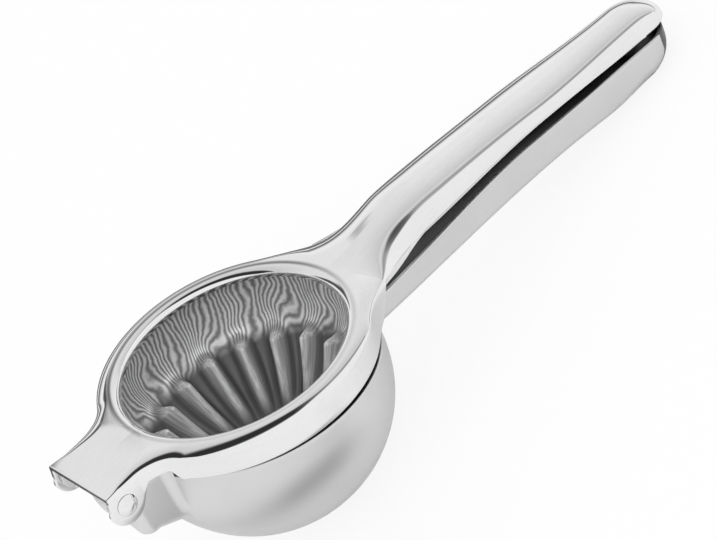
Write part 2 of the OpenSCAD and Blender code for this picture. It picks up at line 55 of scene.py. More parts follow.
bl_info = {
    "name": "Hinged lemon squeezer",
    "version": (1, 0, 0),
    "blender": (4, 5, 0),
    "location": "3D View > Sidebar > Squeezer",
    "description": "Builds a hinged lemon squeezer of stamped steel around its packed CAD part",
    "category": "Add Mesh",
}

MM = 0.001

# Steps along the stamped sheets, where they meet the bowl, and across their faces
TAB_STEPS = 26
WAIST_STEPS = 40
RING_STEPS = 110
HANDLE_STEPS = 80
TIP_STEPS = 26
HANDLE_MEET_STEPS = 11
NECK_MEET_STEPS = 15
NECK_FRONT_STEPS = 43
HOLLOW_STEPS = 12
FLAT_STEPS = 17
ROUND_STEPS = 20
WALL_STEPS = 5
EDGE_STEPS = 4

# Shapes, in millimetres. Most have the names that they have in the part's source. First come the
# exponents of the curves that round the sheets: 2 is an ellipse, and less slopes more evenly.
TIP_POWER = 2.4
SLOPING = 1.5
LIP_POWER = 1.7
# A distance below this counts as none
NEARLY = 1e-9
# Crown: part of the half width that its rounding may take, where it is full past the neck, and how
# far after that it starts to fall
CROWN_SHARE = 0.9
CROWN_RISE = 9.5
CROWN_FLAT = 5
# Upper handle's lower edge: the straight wall above it, its depth at the root below its highest
# point, that point's share of the handle, and the part of the waist over which it climbs
EDGE_WALL = 0.3
EDGE_START = 2.5
HIGH_SHARE = 0.52
CLIMB_FROM, CLIMB_TO = 0.22, 0.5
# Tab: widths of its rounding from the front to the ring, and where they change
TAB_ROUND_FRONT, TAB_ROUND_EAR, TAB_ROUND_BACK, TAB_ROUND_RING = 0.7, 2.6, 3.4, 4.4
TAB_ROUND_PIN, TAB_ROUND_OUT, TAB_ROUND_IN = 2, 2, 4
# Ear's round edge as degrees around the pin, and the lower edge of the walls between ear and ring
EAR_FROM, EAR_TO = 168, 328.5
TAB_EDGE, TAB_EDGE_IN, TAB_EDGE_OUT = -5.2, 2.6, 0.6
WEB_LOW, WEB_BACK, WEB_SOFT, WEB_EAR = -6, 1.8, 0.6, (0.85, -0.52)
# Lower handle's top edge: its start inside the ring, its drop below the skirt there, where it
# levels out before the highest point, and its last rise. The lift draws it to the upper handle.
RAIL_TOP_IN, RAIL_TOP_DROP, RAIL_TOP_EARLY, RAIL_TOP_RISE = 13, 0.9, 6, 0.2
RAIL_LIFT, RAIL_LIFT_OUT, RAIL_LIFT_EARLY, RAIL_LIFT_RISE = 0.8, 6, 10, 0.1
# Its underside: its start inside the ring, its extra depth there, and its last drop
RAIL_LOW_IN, RAIL_LOW_DEEP, RAIL_LOW_DROP = 18, 3.9, 1.2
# Its corner is wider by the blend where its end begins, over the run, and closes by this share
RAIL_BLEND, RAIL_BLEND_RUN, RAIL_BLEND_TO = 3, 18, 0.8
# Distances along X at which the lower handle and the neck start inside the bowl's wall, and are
# clear of it
RAIL_MEET = (25, 48)
NECK_MEET = (24, 43.3)
# Neck: its slope from the floor's front to its deep back inside the bowl, its top edge under the
# rim and behind the ears, its front wall, and its roundings as (width, depth) at the sides and in
# front
NECK_FLOOR, NECK_IN, NECK_DEEP = 5.2, 8, 6
NECK_RIM, NECK_LAP, NECK_OUT, NECK_SHOULDER = 2, 1, 1.5, 1.5
NECK_FRONT, NECK_HIGH, NECK_CORNER = 0.6, -2, 2.8
NECK_ROUND, NECK_FRONT_ROUND = (2.5, 3), (3.4, 7.5)
# Ears of the neck: play in its walls, edge radius, and the corners of the web from the pin back
EAR_PLAY, EAR_EDGE = 0.02, 0.25
EAR_WEB = ((4.6, 1.4), (5.4, -2), (4.4, -5.6), (1.4, -6.4))
# Roundings of the rivet's heads underneath and of the washers
HEAD_EDGE, WASHER_EDGE = 0.05, 0.12

# Least radius of a rounding's inside
LEAST_ROUND = 0.2
# Distances from the hole's rim at which the sheet gets points of its rounded lip. They move
# closer together where its flat stretch is less than this.
LIP_FLAT = 2.2
LIP_STEPS = np.array([0, 0.01, 0.03, 0.1, 0.2, 0.35, 0.55, 0.8, 1.1, 1.2, 1.4, 1.7, 2.1])

# Columns of points over one rib of the press cup and its valley, and rows from its top to its
# middle. The rows go to the band above the ball, to the part above the knee and to the rest.
CUP_ACROSS, CUP_DOWN = 26, 101
CUP_BAND_ROWS, CUP_KNEE_ROWS, CUP_KNEE = 0.06, 0.66, math.radians(60)
# A rib takes this share of its columns and reaches this many half widths. Its end is rounded over
# this angle, drawn out by the factor, and its sides run out into the wall by the tail.
RIB_COLUMNS, RIB_FOOT = 0.86, 1.9
RIB_END, RIB_END_LONG, RIB_TAIL = math.radians(5), 0.85, 0.2

# Brightness of the studio from behind the object (0) over the top (0.5) to the front (1), as the
# steel sees it: a pale back wall, a dark strip overhead and a soft box in front
STUDIO = (
    (0.0, 0.12), (0.03, 0.22), (0.06, 0.88), (0.09, 1.0), (0.2, 0.88), (0.3, 0.82), (0.4, 0.72),
    (0.44, 0.66), (0.465, 0.8), (0.49, 0.62), (0.52, 0.72), (0.55, 0.98), (1.0, 0.97),
)
# Share of the floor's colour, as the camera sees it, that doesn't depend on light
FLOOR_GLOW = 0.86
# View in the ring's own frame: azimuth, elevation and roll in degrees, the origin's place before
# the camera in millimetres, and the focal length and picture's width in pixels
VIEW_ANGLES = (-26.34, 34.82, 24.4)
VIEW_ORIGIN = (-32.95, -20.46, -773.9)
VIEW_FOCAL, VIEW_WIDTH = 3000, 716

# Dark tone: steel that was cut and not polished, and also painted shade and a painted dark
# reflection
DULL_AND_PAINTED_DARK = (0.11, 0.11, 0.112)


# ---------------------------------------------------------------------------------------------
# Sizes and colours


def mm(name, about, value):
    return FloatProperty(name=name, description=about, default=value * MM, min=-0.5, unit="LENGTH")


def degrees(name, about, value):
    return FloatProperty(
        name=name, description=about, default=math.radians(value), unit="ROTATION"
    )


def count(name, about, value):
    return IntProperty(name=name, description=about, default=value, min=1)


def colour(name, about, value):
    return FloatVectorProperty(
        name=name, description=about, default=value, size=3, min=0, max=1, subtype="COLOR"
    )


def share(name, about, value):
    return FloatProperty(
        name=name, description=about, default=value, min=0, max=1, subtype="FACTOR"
    )


class RingSizes(PropertyGroup):
    """Sizes of the upper arm's ring."""

    hole_r: mm("Hole radius", "Radius of the hole in the upper arm's ring", 31.3)
    ring_land: mm("Land", "Width of the land from the hole to the inside of the skirt", 5.6)
    arm_sheet: mm("Sheet", "Thickness of the upper arm's sheet", 1.2)
    skirt_depth: mm("Skirt depth", "Depth of the skirt, from the ring's top to its edge", 9)
    ring_round: mm("Shoulder", "Width of the sloping shoulder between land and skirt", 3.4)
    ring_fall: mm("Shoulder fall", "Drop of the shoulder before the skirt", 2)
    lip_round: mm("Lip", "Width of the rounded lip of the hole", 2.1)
    lip_fall: mm("Lip fall", "Drop of the lip's rounding at the hole", 1.8)
    lip_deep: mm("Lip depth", "Depth of the lip's lower edge below the ring's top", 2.6)
    edge_round: mm("Cut edge", "Radius to which the cut edges are polished", 0.3)


class CupSizes(PropertyGroup):
    """Sizes of the ribbed press cup."""

    cup_sheet: mm("Sheet", "Thickness of the press cup's sheet", 1.0)
    cup_gap: mm("Gap", "Gap between the press cup and the skirt around it", 0.6)
    cup_band: mm("Band", "Height of the press cup's straight band under the ring", 4.3)
    rib_count: count("Ribs", "Number of pressed ribs", 18)
    rib_height: mm("Rib height", "Height of a rib at its top end", 6.8)
    rib_half: mm("Rib half width", "Half width of a rib at half its height", 2.1)
    rib_top: degrees("Rib top", "Angle of a rib's top end above straight down", 65.5)
    rib_low: degrees("Rib low end", "Angle at which the ribs have faded out", 24)
    rib_turn: degrees("Rib turn", "Angle between the handle and the first rib", 1)


class BowlSizes(PropertyGroup):
    """Sizes of the juice bowl and its neck."""

    bowl_sheet: mm("Sheet", "Thickness of the juice bowl's sheet", 0.8)
    bowl_gap: mm("Gap", "Gap between the press cup and the bowl around it", 0.4)
    bowl_drop: mm("Drop", "Depth of the bowl's round centre below the ring's top", 15.3)
    rim_slope: degrees("Rim slope", "Slope of the rim away from the hinge", 1.86)
    rim_gap: mm("Rim gap", "Smallest gap between the skirt and the rim", 0.1)
    slot_count: count("Slots", "Number of drain slots", 12)
    slot_w: mm("Slot width", "Width of a drain slot", 2.6)
    slot_from: mm("Slot start", "Distance from the axis to a slot's inner end", 8)
    slot_to: mm("Slot end", "Distance from the axis to a slot's outer end", 19)
    drain_r: mm("Drain radius", "Radius of the drain hole in the middle", 2)
    neck_depth: mm("Neck depth", "Depth of the neck below the pin", 14.9)
    neck_blend: mm("Neck blend", "Radius of the hollow between neck and bowl", 3)


class HingeSizes(PropertyGroup):
    """Sizes of the hinge."""

    pin_x: mm("Pin distance", "Distance from the ring's centre to the pin", 49.3)
    pin_drop: mm("Pin drop", "Depth of the pin below the ring's top", 6.6)
    pin_r: mm("Pin radius", "Radius of the hinge pin", 2)
    pin_gap: mm("Pin gap", "Running gap around the pin", 0.05)
    head_r: mm("Head radius", "Radius of the pin's domed heads", 3)
    head_h: mm("Head height", "Height of the pin's domed heads", 1.6)
    ear_r: mm("Ear radius", "Radius of the upper arm's ears", 5.6)
    tab_half: mm("Tab half width", "Half width of the tab, outside its walls", 13.4)
    tab_nose: mm("Tab nose", "Length of the tab in front of the pin", 4.6)
    tab_droop: mm("Tab droop", "Drop of the tab's front edge", 1.3)
    tab_waist: mm("Tab waist", "Radius of the waist between tab and ring", 13.4)
    washer_h: mm("Washer", "Thickness of the hinge washers", 0.5)
    washer_r: mm("Washer radius", "Outer radius of the hinge washers", 3.6)
    washer_gap: mm("Side play", "Side play between a washer and the ears", 0.05)
    inner_ear_r: mm("Inner ear radius", "Radius of the lower arm's ears", 3.9)
    ear_coin: mm("Ear coin", "Extra thickness of the ears on each side", 0.05)


class HandleSizes(PropertyGroup):
    """Sizes of the two handles."""

    handle_reach: mm("Reach", "Length from the ring's centre to the tip", 160)
    neck_waist: mm("Waist", "Radius of the waist between ring and handle", 44)
    neck_half: mm("Neck half width", "Half width of the handle at its neck", 12.2)
    handle_half: mm("Half width", "Half width of the handle at its widest", 10.8)
    tip_half: mm("Tip half width", "Half width where the tip begins", 9.4)
    tip_round: mm("Tip length", "Length of the rounded tip", 12)
    crown_top: mm("Crown", "Height of the crown above the ring's top", 4.6)
    tip_top: mm("Tip crown", "Height of the crown where the tip begins", 2.8)
    edge_high: mm("Edge", "Height of the lower edge where it is highest", -0.9)
    edge_tip: mm("Tip edge", "Height of the lower edge at the tip", -2.8)
    rail_sheet: mm("Lower sheet", "Thickness of the lower handle's sheet", 1.3)
    rail_half: mm("Lower half width", "Half width of the lower handle", 12)
    grip_gap: mm("Tip gap", "Gap between the two handles at their tips", 1.3)
    rail_depth: mm("Lower depth", "Depth of the lower handle's walls", 9.4)
    rail_short: mm("Overhang", "How far the upper handle reaches past the lower", 2.5)
    rail_round: mm("Lower corner", "Radius between the lower walls and web", 2)
    weld_gap: mm("Weld gap", "Gap left for the weld at the bowl", 0.1)


class Finishes(PropertyGroup):
    """Colours and polish of the steels."""

    polished: colour("Polished", "Colour of the upper arm", (0.87, 0.87, 0.875))
    cup: colour("Cup", "Colour of the press cup", (0.82, 0.82, 0.825))
    satin: colour("Satin", "Colour of the juice bowl", (0.74, 0.74, 0.745))
    handle: colour("Handle", "Colour of the lower handle", (0.72, 0.72, 0.725))
    polished_rough: share("Polish", "Roughness of the polished steel", 0.06)
    cup_rough: share("Cup polish", "Roughness of the cup's steel", 0.31)
    satin_rough: share("Satin", "Roughness of the satin steel", 0.34)
    handle_rough: share("Handle satin", "Roughness of the lower handle", 0.30)


class StageLook(PropertyGroup):
    """Floor, backdrop and lamps."""

    floor: colour("Floor", "Colour of the floor", (0.96, 0.96, 0.96))
    back: colour("Backdrop", "Colour of the world seen by the camera", (1, 1, 1))
    ambient: share("Ambient", "Level of the world's own light", 0.75)
    key: FloatProperty(name="Key", description="Power of the main lamp", default=9, unit="POWER")


SIZE_GROUPS = {
    "ring": RingSizes,
    "cup": CupSizes,
    "bowl": BowlSizes,
    "hinge": HingeSizes,
    "handle": HandleSizes,
}
GROUPS = {**SIZE_GROUPS, "finishes": Finishes, "stage": StageLook}


def settings(key):
    """The property group with the user's values."""
    return getattr(bpy.context.scene, "squeezer_" + key)


def plan():
    """Every size in millimetres and degrees, and what follows from them, in the ring's own frame:
    +X from hinge to handle, the ring's top at z = 0 and the centre of its hole at the origin."""
    s = SimpleNamespace()
    for key in SIZE_GROUPS:
        group = settings(key)
        for name in SIZE_GROUPS[key].__annotations__:
            value, unit = getattr(group, name), group.bl_rna.properties[name].unit
            if unit == "LENGTH":
                value = round(value / MM, 6)
            if unit == "ROTATION":
                value = math.degrees(value)
            setattr(s, name, value)
    s.skirt_in = s.hole_r + s.ring_land
    s.ring_r = s.skirt_in + s.arm_sheet
    s.cup_out = s.skirt_in - s.cup_gap
    s.cup_in = s.cup_out - s.cup_sheet
    s.cup_top = -s.arm_sheet
    s.cup_z = -s.arm_sheet - s.cup_band
    s.bowl_in = s.cup_out + s.bowl_gap
    s.bowl_r = s.bowl_in + s.bowl_sheet
    s.pin = np.array([-s.pin_x, -s.pin_drop])
    s.tab_front = s.pin_x + s.tab_nose
    s.ear_out = s.tab_half + s.ear_coin
    s.ear_in = s.tab_half - s.arm_sheet - s.ear_coin
    s.neck_out = s.ear_in - s.washer_h - 2 * s.washer_gap
    s.tab_x = waist_x(s, s.tab_waist, s.tab_half)
    s.neck_x = waist_x(s, s.neck_waist, s.neck_half)
    s.tip_x = s.handle_reach - s.tip_round
    s.root_x = s.hole_r
    s.crown_x = s.neck_x + CROWN_RISE
    s.high_x = mix(s.neck_x, s.tip_x, HIGH_SHARE)
    s.rail_tip_x = s.handle_reach - s.rail_short - s.tip_round
    s.rail_top_tip = s.edge_tip - s.grip_gap
    s.rail_low = s.rail_top_tip - s.rail_depth
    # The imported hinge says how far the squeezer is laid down
    at = np.array(frame["joints"][0]["pos_m"]) / MM
    drop = s.bowl_drop - s.pin_drop
    s.lie = math.atan2(drop, -s.pin_x) - math.atan2(at[2] - s.bowl_r, at[0])
    return s


def waist_x(s, w, h):
    """Where a waist of radius w leaves a straight side of half width h, along X."""
    return math.sqrt((s.ring_r + w) ** 2 - (h + w) ** 2)


def mix(a, b, t):
    """From a at t = 0 to b at t = 1."""
    return a + (b - a) * t


def smooth(t):
    """From 0 to 1 with a soft start and end, and level outside."""
    u = np.clip(t, 0, 1)
    return u * u * (3 - 2 * u)


def ramp(x, start, end, a, b):
    """Goes softly from a at start to b at end."""
    return mix(a, b, smooth((x - start) / (end - start)))


def smoother(t):
    """As smooth, with even its bend starting and ending softly."""
    u = np.clip(t, 0, 1)
    return u**3 * (10 - 15 * u + 6 * u * u)


def curve(x, at, values):
    """Smooth line through values, without overshoot at its ends."""
    at, values = np.array(at, float), np.array(values, float)
    slope = np.gradient(values, at)
    slope[0] = slope[-1] = 0
    x = min(max(x, at[0]), at[-1])
    i = min(int(np.searchsorted(at, x, side="right")) - 1, len(at) - 2)
    w = at[i + 1] - at[i]
    t = (x - at[i]) / w
    low = (1 + 2 * t) * (1 - t) ** 2 * values[i] + t * (1 - t) ** 2 * w * slope[i]
    return low + t * t * (3 - 2 * t) * values[i + 1] + t * t * (t - 1) * w * slope[i + 1]


def polar(r, angle):
    """Point at a radius and an angle in degrees."""
    a = math.radians(angle)
    return np.array([r * math.cos(a), r * math.sin(a)])


def laying(s):
    """Turn and shift from the ring's frame to the squeezer's pose on the floor, in millimetres."""
    c, d = math.cos(s.lie), math.sin(s.lie)
    turn = np.array([[c, 0, d], [0, 1, 0], [-d, 0, c]])
    return turn, np.array([s.bowl_drop * d, 0, s.bowl_r + s.bowl_drop * c])


def lay(s, points):
    """Points of the ring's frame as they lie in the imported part, in metres."""
    turn, shift = laying(s)
    return (np.asarray(points) @ turn.T + shift) * MM


# ---------------------------------------------------------------------------------------------
# Meshes


def linked(name, data):
    """A new object in the scene, at the origin."""
    obj = bpy.data.objects.new(name, data)
    bpy.context.scene.collection.objects.link(obj)
    return obj


def make_piece(name, points, faces, sharp=None):
    """A mesh object at the origin from points in metres; its doubles are merged."""
    mesh = bpy.data.meshes.new(name)
    mesh.from_pydata([tuple(p) for p in points], [], [tuple(f) for f in faces])
    work = bmesh.new()
    work.from_mesh(mesh)
    bmesh.ops.remove_doubles(work, verts=work.verts, dist=2e-7)
    bmesh.ops.dissolve_degenerate(work, edges=work.edges, dist=1e-7)
    work.to_mesh(mesh)
    work.free()
    obj = linked(name, mesh)
    shade(obj, sharp)
    return obj


def coordinates(obj):
    """A mesh's points."""
    return np.array([v.co for v in obj.data.vertices])


def place_points(obj, points):
    """Moves a mesh's points."""
    obj.data.vertices.foreach_set("co", points.astype(np.float32).ravel())
    obj.data.update()


def turned(faces):
    """The faces with their other side outwards."""
    return [tuple(f[::-1]) for f in faces]


def doubled(points, faces):
    """The same again mirrored about y = 0."""
    points = np.asarray(points)
    mirrored = [tuple(len(points) + v for v in reversed(f)) for f in faces]
    return np.r_[points, points * [1, -1, 1]], faces + mirrored


def joined(parts):
    """One set of points and faces from several."""
    points, faces = [], []
    for held, shapes in parts:
        faces += [tuple(len(points) + v for v in f) for f in shapes]
        points += list(held)
    return points, faces


def shade(obj, sharp=None):
    """Smooth faces, with sharp edges above an angle in degrees."""
    obj.data.shade_smooth()
    if sharp is not None:
        obj.data.set_sharp_from_angle(angle=math.radians(sharp))


def baked(obj):
    """The object with its modifiers applied, as a plain mesh."""
    bpy.context.view_layer.update()
    found = obj.evaluated_get(bpy.context.evaluated_depsgraph_get())
    mesh = bpy.data.meshes.new_from_object(found)
    mesh.name = obj.name
    obj.modifiers.clear()
    obj.data = mesh
    return obj


def cut(obj, cutter):
    """Takes the cutter's volume away from the object."""
    tool = obj.modifiers.new("cut", "BOOLEAN")
    tool.operation = "DIFFERENCE"
    tool.solver = "EXACT"
    tool.object = cutter
    baked(obj)
    bpy.data.objects.remove(cutter)


def settle(obj, material, slot, body, *nodes):
    """Gives a finished piece its steel, and puts it on its body in place of its CAD node."""
    obj.data.materials.clear()
    obj.data.materials.append(material)
    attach(obj, body)
    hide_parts(*nodes)


def body_of(node):
    """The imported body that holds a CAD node."""
    bodies = frame["record"]["behaviour"]["bodies"]
    return next(b for b, held in bodies.items() if node in held)


def resample(path, n):
    """n points at even distances along a line of points."""
    path = np.asarray(path, float)
    run = np.r_[0, np.cumsum(np.linalg.norm(np.diff(path, axis=0), axis=1))]
    at = np.linspace(0, run[-1], n)
    return np.c_[[np.interp(at, run, path[:, i]) for i in range(path.shape[1])]].T


def station(q, p, z, a, h, edge, mid, foot=None, inset=0, power=2):
    """Where a sheet is cut across: from q at the middle or at the hole, out to p on the outline.
    The sheet is flat at height z up to its rounding, which is a wide and h deep, and then goes
    straight to its foot, the point where its outside ends, by default at height edge below p. mid
    tells whether q lies on the centre line, and inset by how much the faces are drawn in where a
    cut edge is rounded. power is the rounding's exponent."""
    q, p = np.asarray(q, float), np.asarray(p, float)
    foot = np.array([p[0], p[1], edge]) if foot is None else np.asarray(foot, float)
    return SimpleNamespace(q=q, p=p, z=z, a=a, h=h, foot=foot, mid=mid, inset=inset, power=power)


def face_points(s, t, up):
    """Distance from q and height along one face of the sheet, t below its outside."""
    reach = np.linalg.norm(s.p - s.q) - t
    a, h, z = max(s.a - t, LEAST_ROUND), max(s.h - t, LEAST_ROUND), s.z - up * t
    flat = reach - a
    dense = LIP_STEPS * min(1, flat / LIP_FLAT)
    far = np.linspace(dense[-1], flat, FLAT_STEPS - len(dense) + 1)[1:-1]
    c = np.radians(np.linspace(0, 90, ROUND_STEPS + 1))
    over = np.sin(c) ** (2 / s.power)
    down = np.maximum(np.cos(c), 0) ** (2 / s.power)
    along = np.r_[dense, far, flat + a * over]
    return along, np.r_[np.full(len(dense) + len(far), z), z - up * (h - h * down)]


def section(s, out, t, up, r):
    """Closed line of points around the sheet at a station. out points away from the sheet at its
    foot, in the sheet's own surface, and r is the radius of its polished edge."""
    way = np.r_[(s.p - s.q) / np.linalg.norm(s.p - s.q), 0]
    start = np.r_[s.q, 0]
    faces, foot = [], s.foot - out * s.inset
    for depth, into in ((s.inset, s.inset), (t - s.inset, t - s.inset)):
        along, high = face_points(s, depth, up)
        face = start + way * along[:, None]
        face[:, 2] = high
        end = foot - way * into - out * r
        steps = np.linspace(0, 1, WALL_STEPS + 1)[1:, None]
        faces.append(np.r_[face, face[-1] + (end - face[-1]) * steps])
    turn = np.radians(np.linspace(0, 90, EDGE_STEPS + 1)[1:])[:, None]
    outer = foot - way * (s.inset + r) - out * r
    inner = foot - way * (t - s.inset - r) - out * r
    bend = [
        outer + way * r * np.cos(turn) + out * r * np.sin(turn),
        (inner - way * r * np.cos(turn) + out * r * np.sin(turn))[::-1],
    ]
    return np.r_[faces[0], bend[0], bend[1], faces[1][::-1]]


def sections(stations, t, up, r):
    """Closed lines of points around the sheet at each station. Each edge is square to the line
    along which the feet run."""
    foot = np.array([s.foot for s in stations])
    tangent = np.gradient(foot, axis=0)
    way = np.array([(s.p - s.q) / np.linalg.norm(s.p - s.q) for s in stations])
    out = np.cross(tangent, np.c_[way, np.zeros(len(way))])
    out /= np.maximum(np.linalg.norm(out, axis=1), NEARLY)[:, None]
    if np.sum(out[:, 2]) * up > 0:
        out = -out
    return np.array([section(s, o, t, up, r) for s, o in zip(stations, out)])


def skin(rows, mid, up):
    """Points and faces over rows of closed lines, with the same again mirrored about y = 0."""
    n, m = len(rows), len(rows[0])
    half = (m - 2 * EDGE_STEPS) // 2
    faces = []
    for i in range(n - 1):
        for k in range(m):
            j = (k + 1) % m
            if k == m - 1 and mid[i] and mid[i + 1]:
                continue
            faces.append((i * m + k, i * m + j, (i + 1) * m + j, (i + 1) * m + k))
    for k in range(half - 1):
        faces.append((k, m - 1 - k, m - 2 - k, k + 1))
    faces.append(tuple(reversed(range(half - 1, m - half + 1))))
    return doubled(np.asarray(rows).reshape(-1, 3), faces if up > 0 else turned(faces))


def lathe(profile, steps, closed=True):
    """Faces of a profile of (radius, height) points that is turned around z."""
    turn = np.linspace(0, 2 * math.pi, steps, endpoint=False)
    profile = np.asarray(profile, float)
    n = len(profile)
    points = np.array([[r * math.cos(a), r * math.sin(a), h] for a in turn for r, h in profile])
    faces = []
    for i in range(steps):
        a, b = i * n, (i + 1) % steps * n
        for k in range(n if closed else n - 1):
            j = (k + 1) % n
            faces.append((a + k, b + k, b + j, a + j))
    return points, faces


def tilt(points, angle):
    """Turns points about y as the part's source does, positive lowering +X."""
    c, d = math.cos(math.radians(angle)), math.sin(math.radians(angle))
    return np.asarray(points) @ np.array([[c, 0, d], [0, 1, 0], [-d, 0, c]]).T


# ---------------------------------------------------------------------------------------------
# Node graphs


class Value:
    """A socket that can be used in sums; each operator adds a Math node."""

    def __init__(self, graph, node, socket):
        self.graph, self.node, self.socket = graph, node, socket

    def out(self, name):
        return Value(self.graph, self.node, self.node.outputs[name])

    def math(self, operation, *others):
        return self.graph.math(operation, self, *others)

    def __add__(self, other):
        return self.math("ADD", other)

    def __mul__(self, other):
        return self.math("MULTIPLY", other)

    def __sub__(self, other):
        return self.math("SUBTRACT", other)

    def __truediv__(self, other):
        return self.math("DIVIDE", other)

    def __pow__(self, other):
        return self.math("POWER", other)

    def __rsub__(self, other):
        return self.graph.math("SUBTRACT", other, self)

    def __rtruediv__(self, other):
        return self.graph.math("DIVIDE", other, self)

    __radd__ = __add__
    __rmul__ = __mul__

    def ramp(self, start, end):
        """0 below start, 1 above end, smooth between them."""
        return self.graph.node(
            "ShaderNodeMapRange",
            {"interpolation_type": "SMOOTHSTEP"},
            {"Value": self, "From Min": start, "From Max": end},
        )

    def least(self, low):
        """The value, or low where it is less."""
        return self.math("MAXIMUM", low)

    def most(self, high):
        """The value, or high where it is more."""
        return self.math("MINIMUM", high)


class Graph:
    """A shader or geometry tree that is built from Python."""

    def __init__(self, tree):
        self.tree = tree

    def node(self, kind, settings=None, values=None):
        """Adds a node: its settings first, then the values or links of its sockets."""
        made = self.tree.nodes.new(kind)
        for name, value in (settings or {}).items():
            if name == "stops":
                while len(made.color_ramp.elements) < len(value):
                    made.color_ramp.elements.new(0.5)
                for element, (at, tone) in zip(made.color_ramp.elements, value):
                    element.position, element.color = at, (tone, tone, tone, 1)
            else:
                setattr(made, name, value)
        for name, value in (values or {}).items():
            socket = made.inputs[name]
            if isinstance(value, Value):
                self.tree.links.new(value.socket, socket)
            else:
                socket.default_value = value
        first = made.outputs[0] if made.outputs else None
        return Value(self, made, first)

    def math(self, operation, *values):
        return self.node("ShaderNodeMath", {"operation": operation}, dict(enumerate(values)))

    def noise(self, place, scale, detail):
        return self.node(
            "ShaderNodeTexNoise", values={"Vector": place, "Scale": scale, "Detail": detail}
        )

    def split(self, vector):
        """The three parts of a vector."""
        parts = self.node("ShaderNodeSeparateXYZ", values={"Vector": vector})
        return [parts.out(axis) for axis in "XYZ"]

    def vector(self, **parts):
        """A vector from its X, Y and Z."""
        return self.node("ShaderNodeCombineXYZ", values=parts)

    def between(self, share, first, second):
        """Mixes two shaders."""
        return self.node("ShaderNodeMixShader", values={0: share, 1: first, 2: second})

    def blend(self, share, first, second):
        """Mixes two colours. The Mix node names its sockets alike for every kind, so they go by
        number."""
        colours = [c if isinstance(c, Value) else tuple(c) + (1,) for c in (first, second)]
        made = self.node(
            "ShaderNodeMix", {"data_type": "RGBA"}, {0: share, 6: colours[0], 7: colours[1]}
        )
        return Value(self, made.node, made.node.outputs[2])


def new_material(name):
    """An empty material and its graph."""
    material = bpy.data.materials.new(name)
    material.use_nodes = True
    material.node_tree.nodes.clear()
    return material, Graph(material.node_tree)


# ---------------------------------------------------------------------------------------------
# Steels


def steel(name, tone, rough, wander, grain, lines, patches, stretch=(1, 1, 1), dull_and_painted_dark=None):
    """Bare steel. Its colour and polish wander in soft patches, and fine lines left by polishing
    run where stretch is small. grain is the size of the lines in millimetres, and lines their
    depth. The last argument gives the share of a dark tone from the graph and a place, which the
    callers use for unpolished steel and for painted shade and painted reflection."""
    material, g = new_material(name)
    place = g.node("ShaderNodeTexCoord").out("Object")
    soft = g.noise(place, patches, 3.0)
    drawn = g.node("ShaderNodeMapping", values={"Vector": place, "Scale": stretch})
    fine = g.noise(drawn, 1 / (grain * MM), 4.0)
    worn = soft * 0.6 + fine * 0.4
    base = g.blend(worn.ramp(0.3, 0.7), [c * 0.93 for c in tone], tone)
    if dull_and_painted_dark:
        # Dark tone: unpolished steel, and painted shade and painted reflection where the callers
        # ask
        base = g.blend(dull_and_painted_dark(g, place), base, DULL_AND_PAINTED_DARK)
    bare_metal(g, base, 1.0, rough + (worn - 0.5) * wander, fine, lines)
    return material


def bare_metal(g, base, metallic, roughness, height, lines):
    """Ends a steel's graph: its surface, and the lines of that depth in millimetres as a bump."""
    bump = g.node(
        "ShaderNodeBump", values={"Strength": 1.0, "Distance": lines * MM, "Height": height}
    )
    shader = g.node(
        "ShaderNodeBsdfPrincipled",
        values={
            "Base Color": base,
            "Metallic": metallic,
            "Roughness": roughness,
            "Normal": bump,
        },
    )
    g.node("ShaderNodeOutputMaterial", values={"Surface": shader})


def polished_steel(s):
    f = settings("finishes")
    # Dark line painted around the hole as a reflection: its place outside the lip, its widths
    # inwards and outwards, and its shares of the dark tone on one side of the ring and more on the
    # other
    out, inwards, outwards, least, more, side = 0.5 * MM, 0.9 * MM, 1.3 * MM, 0.25, 0.6, 15 * MM

    def cut_edge_and_painted_reflection(g, place):
        """The tab's front edge, which was cut and not polished, and a soft dark line around the
        ring's hole, a painted reflection of something dark."""
        x, y, z = g.split(ring_place(s, g, place))
        front = 1 - x.ramp((0.1 - s.tab_front) * MM, (0.35 - s.tab_front) * MM)
        low = -(s.tab_droop + s.arm_sheet) * MM
        across = (x * x + y * y) ** 0.5
        line = (s.hole_r + s.lip_round) * MM + out
        # Painted reflection: a soft dark line around the hole, darker on one side of the ring
        painted_reflection_line = across.ramp(line - inwards, line) * (1 - across.ramp(line, line + outwards))
        painted_reflection_line = painted_reflection_line * z.ramp(-0.9 * MM, -0.4 * MM) * (y.ramp(-side, side) * more + least)
        return front * z.ramp(low - 0.4 * MM, low) * 0.9 + painted_reflection_line

    return steel(
        "polished_steel", f.polished, f.polished_rough, wander=0.03, stretch=(0.08, 1, 1),
        grain=0.5, lines=0.0003, patches=40, dull_and_painted_dark=cut_edge_and_painted_reflection,
    )


def ring_place(s, g, place, z=0):
    """A place in the ring's own frame, seen from a height on its axis."""
    return g.node(
        "ShaderNodeMapping",
        {"vector_type": "TEXTURE"},
        {"Vector": place, "Location": Vector(lay(s, (0, 0, z))), "Rotation": (0, s.lie, 0)},
    )


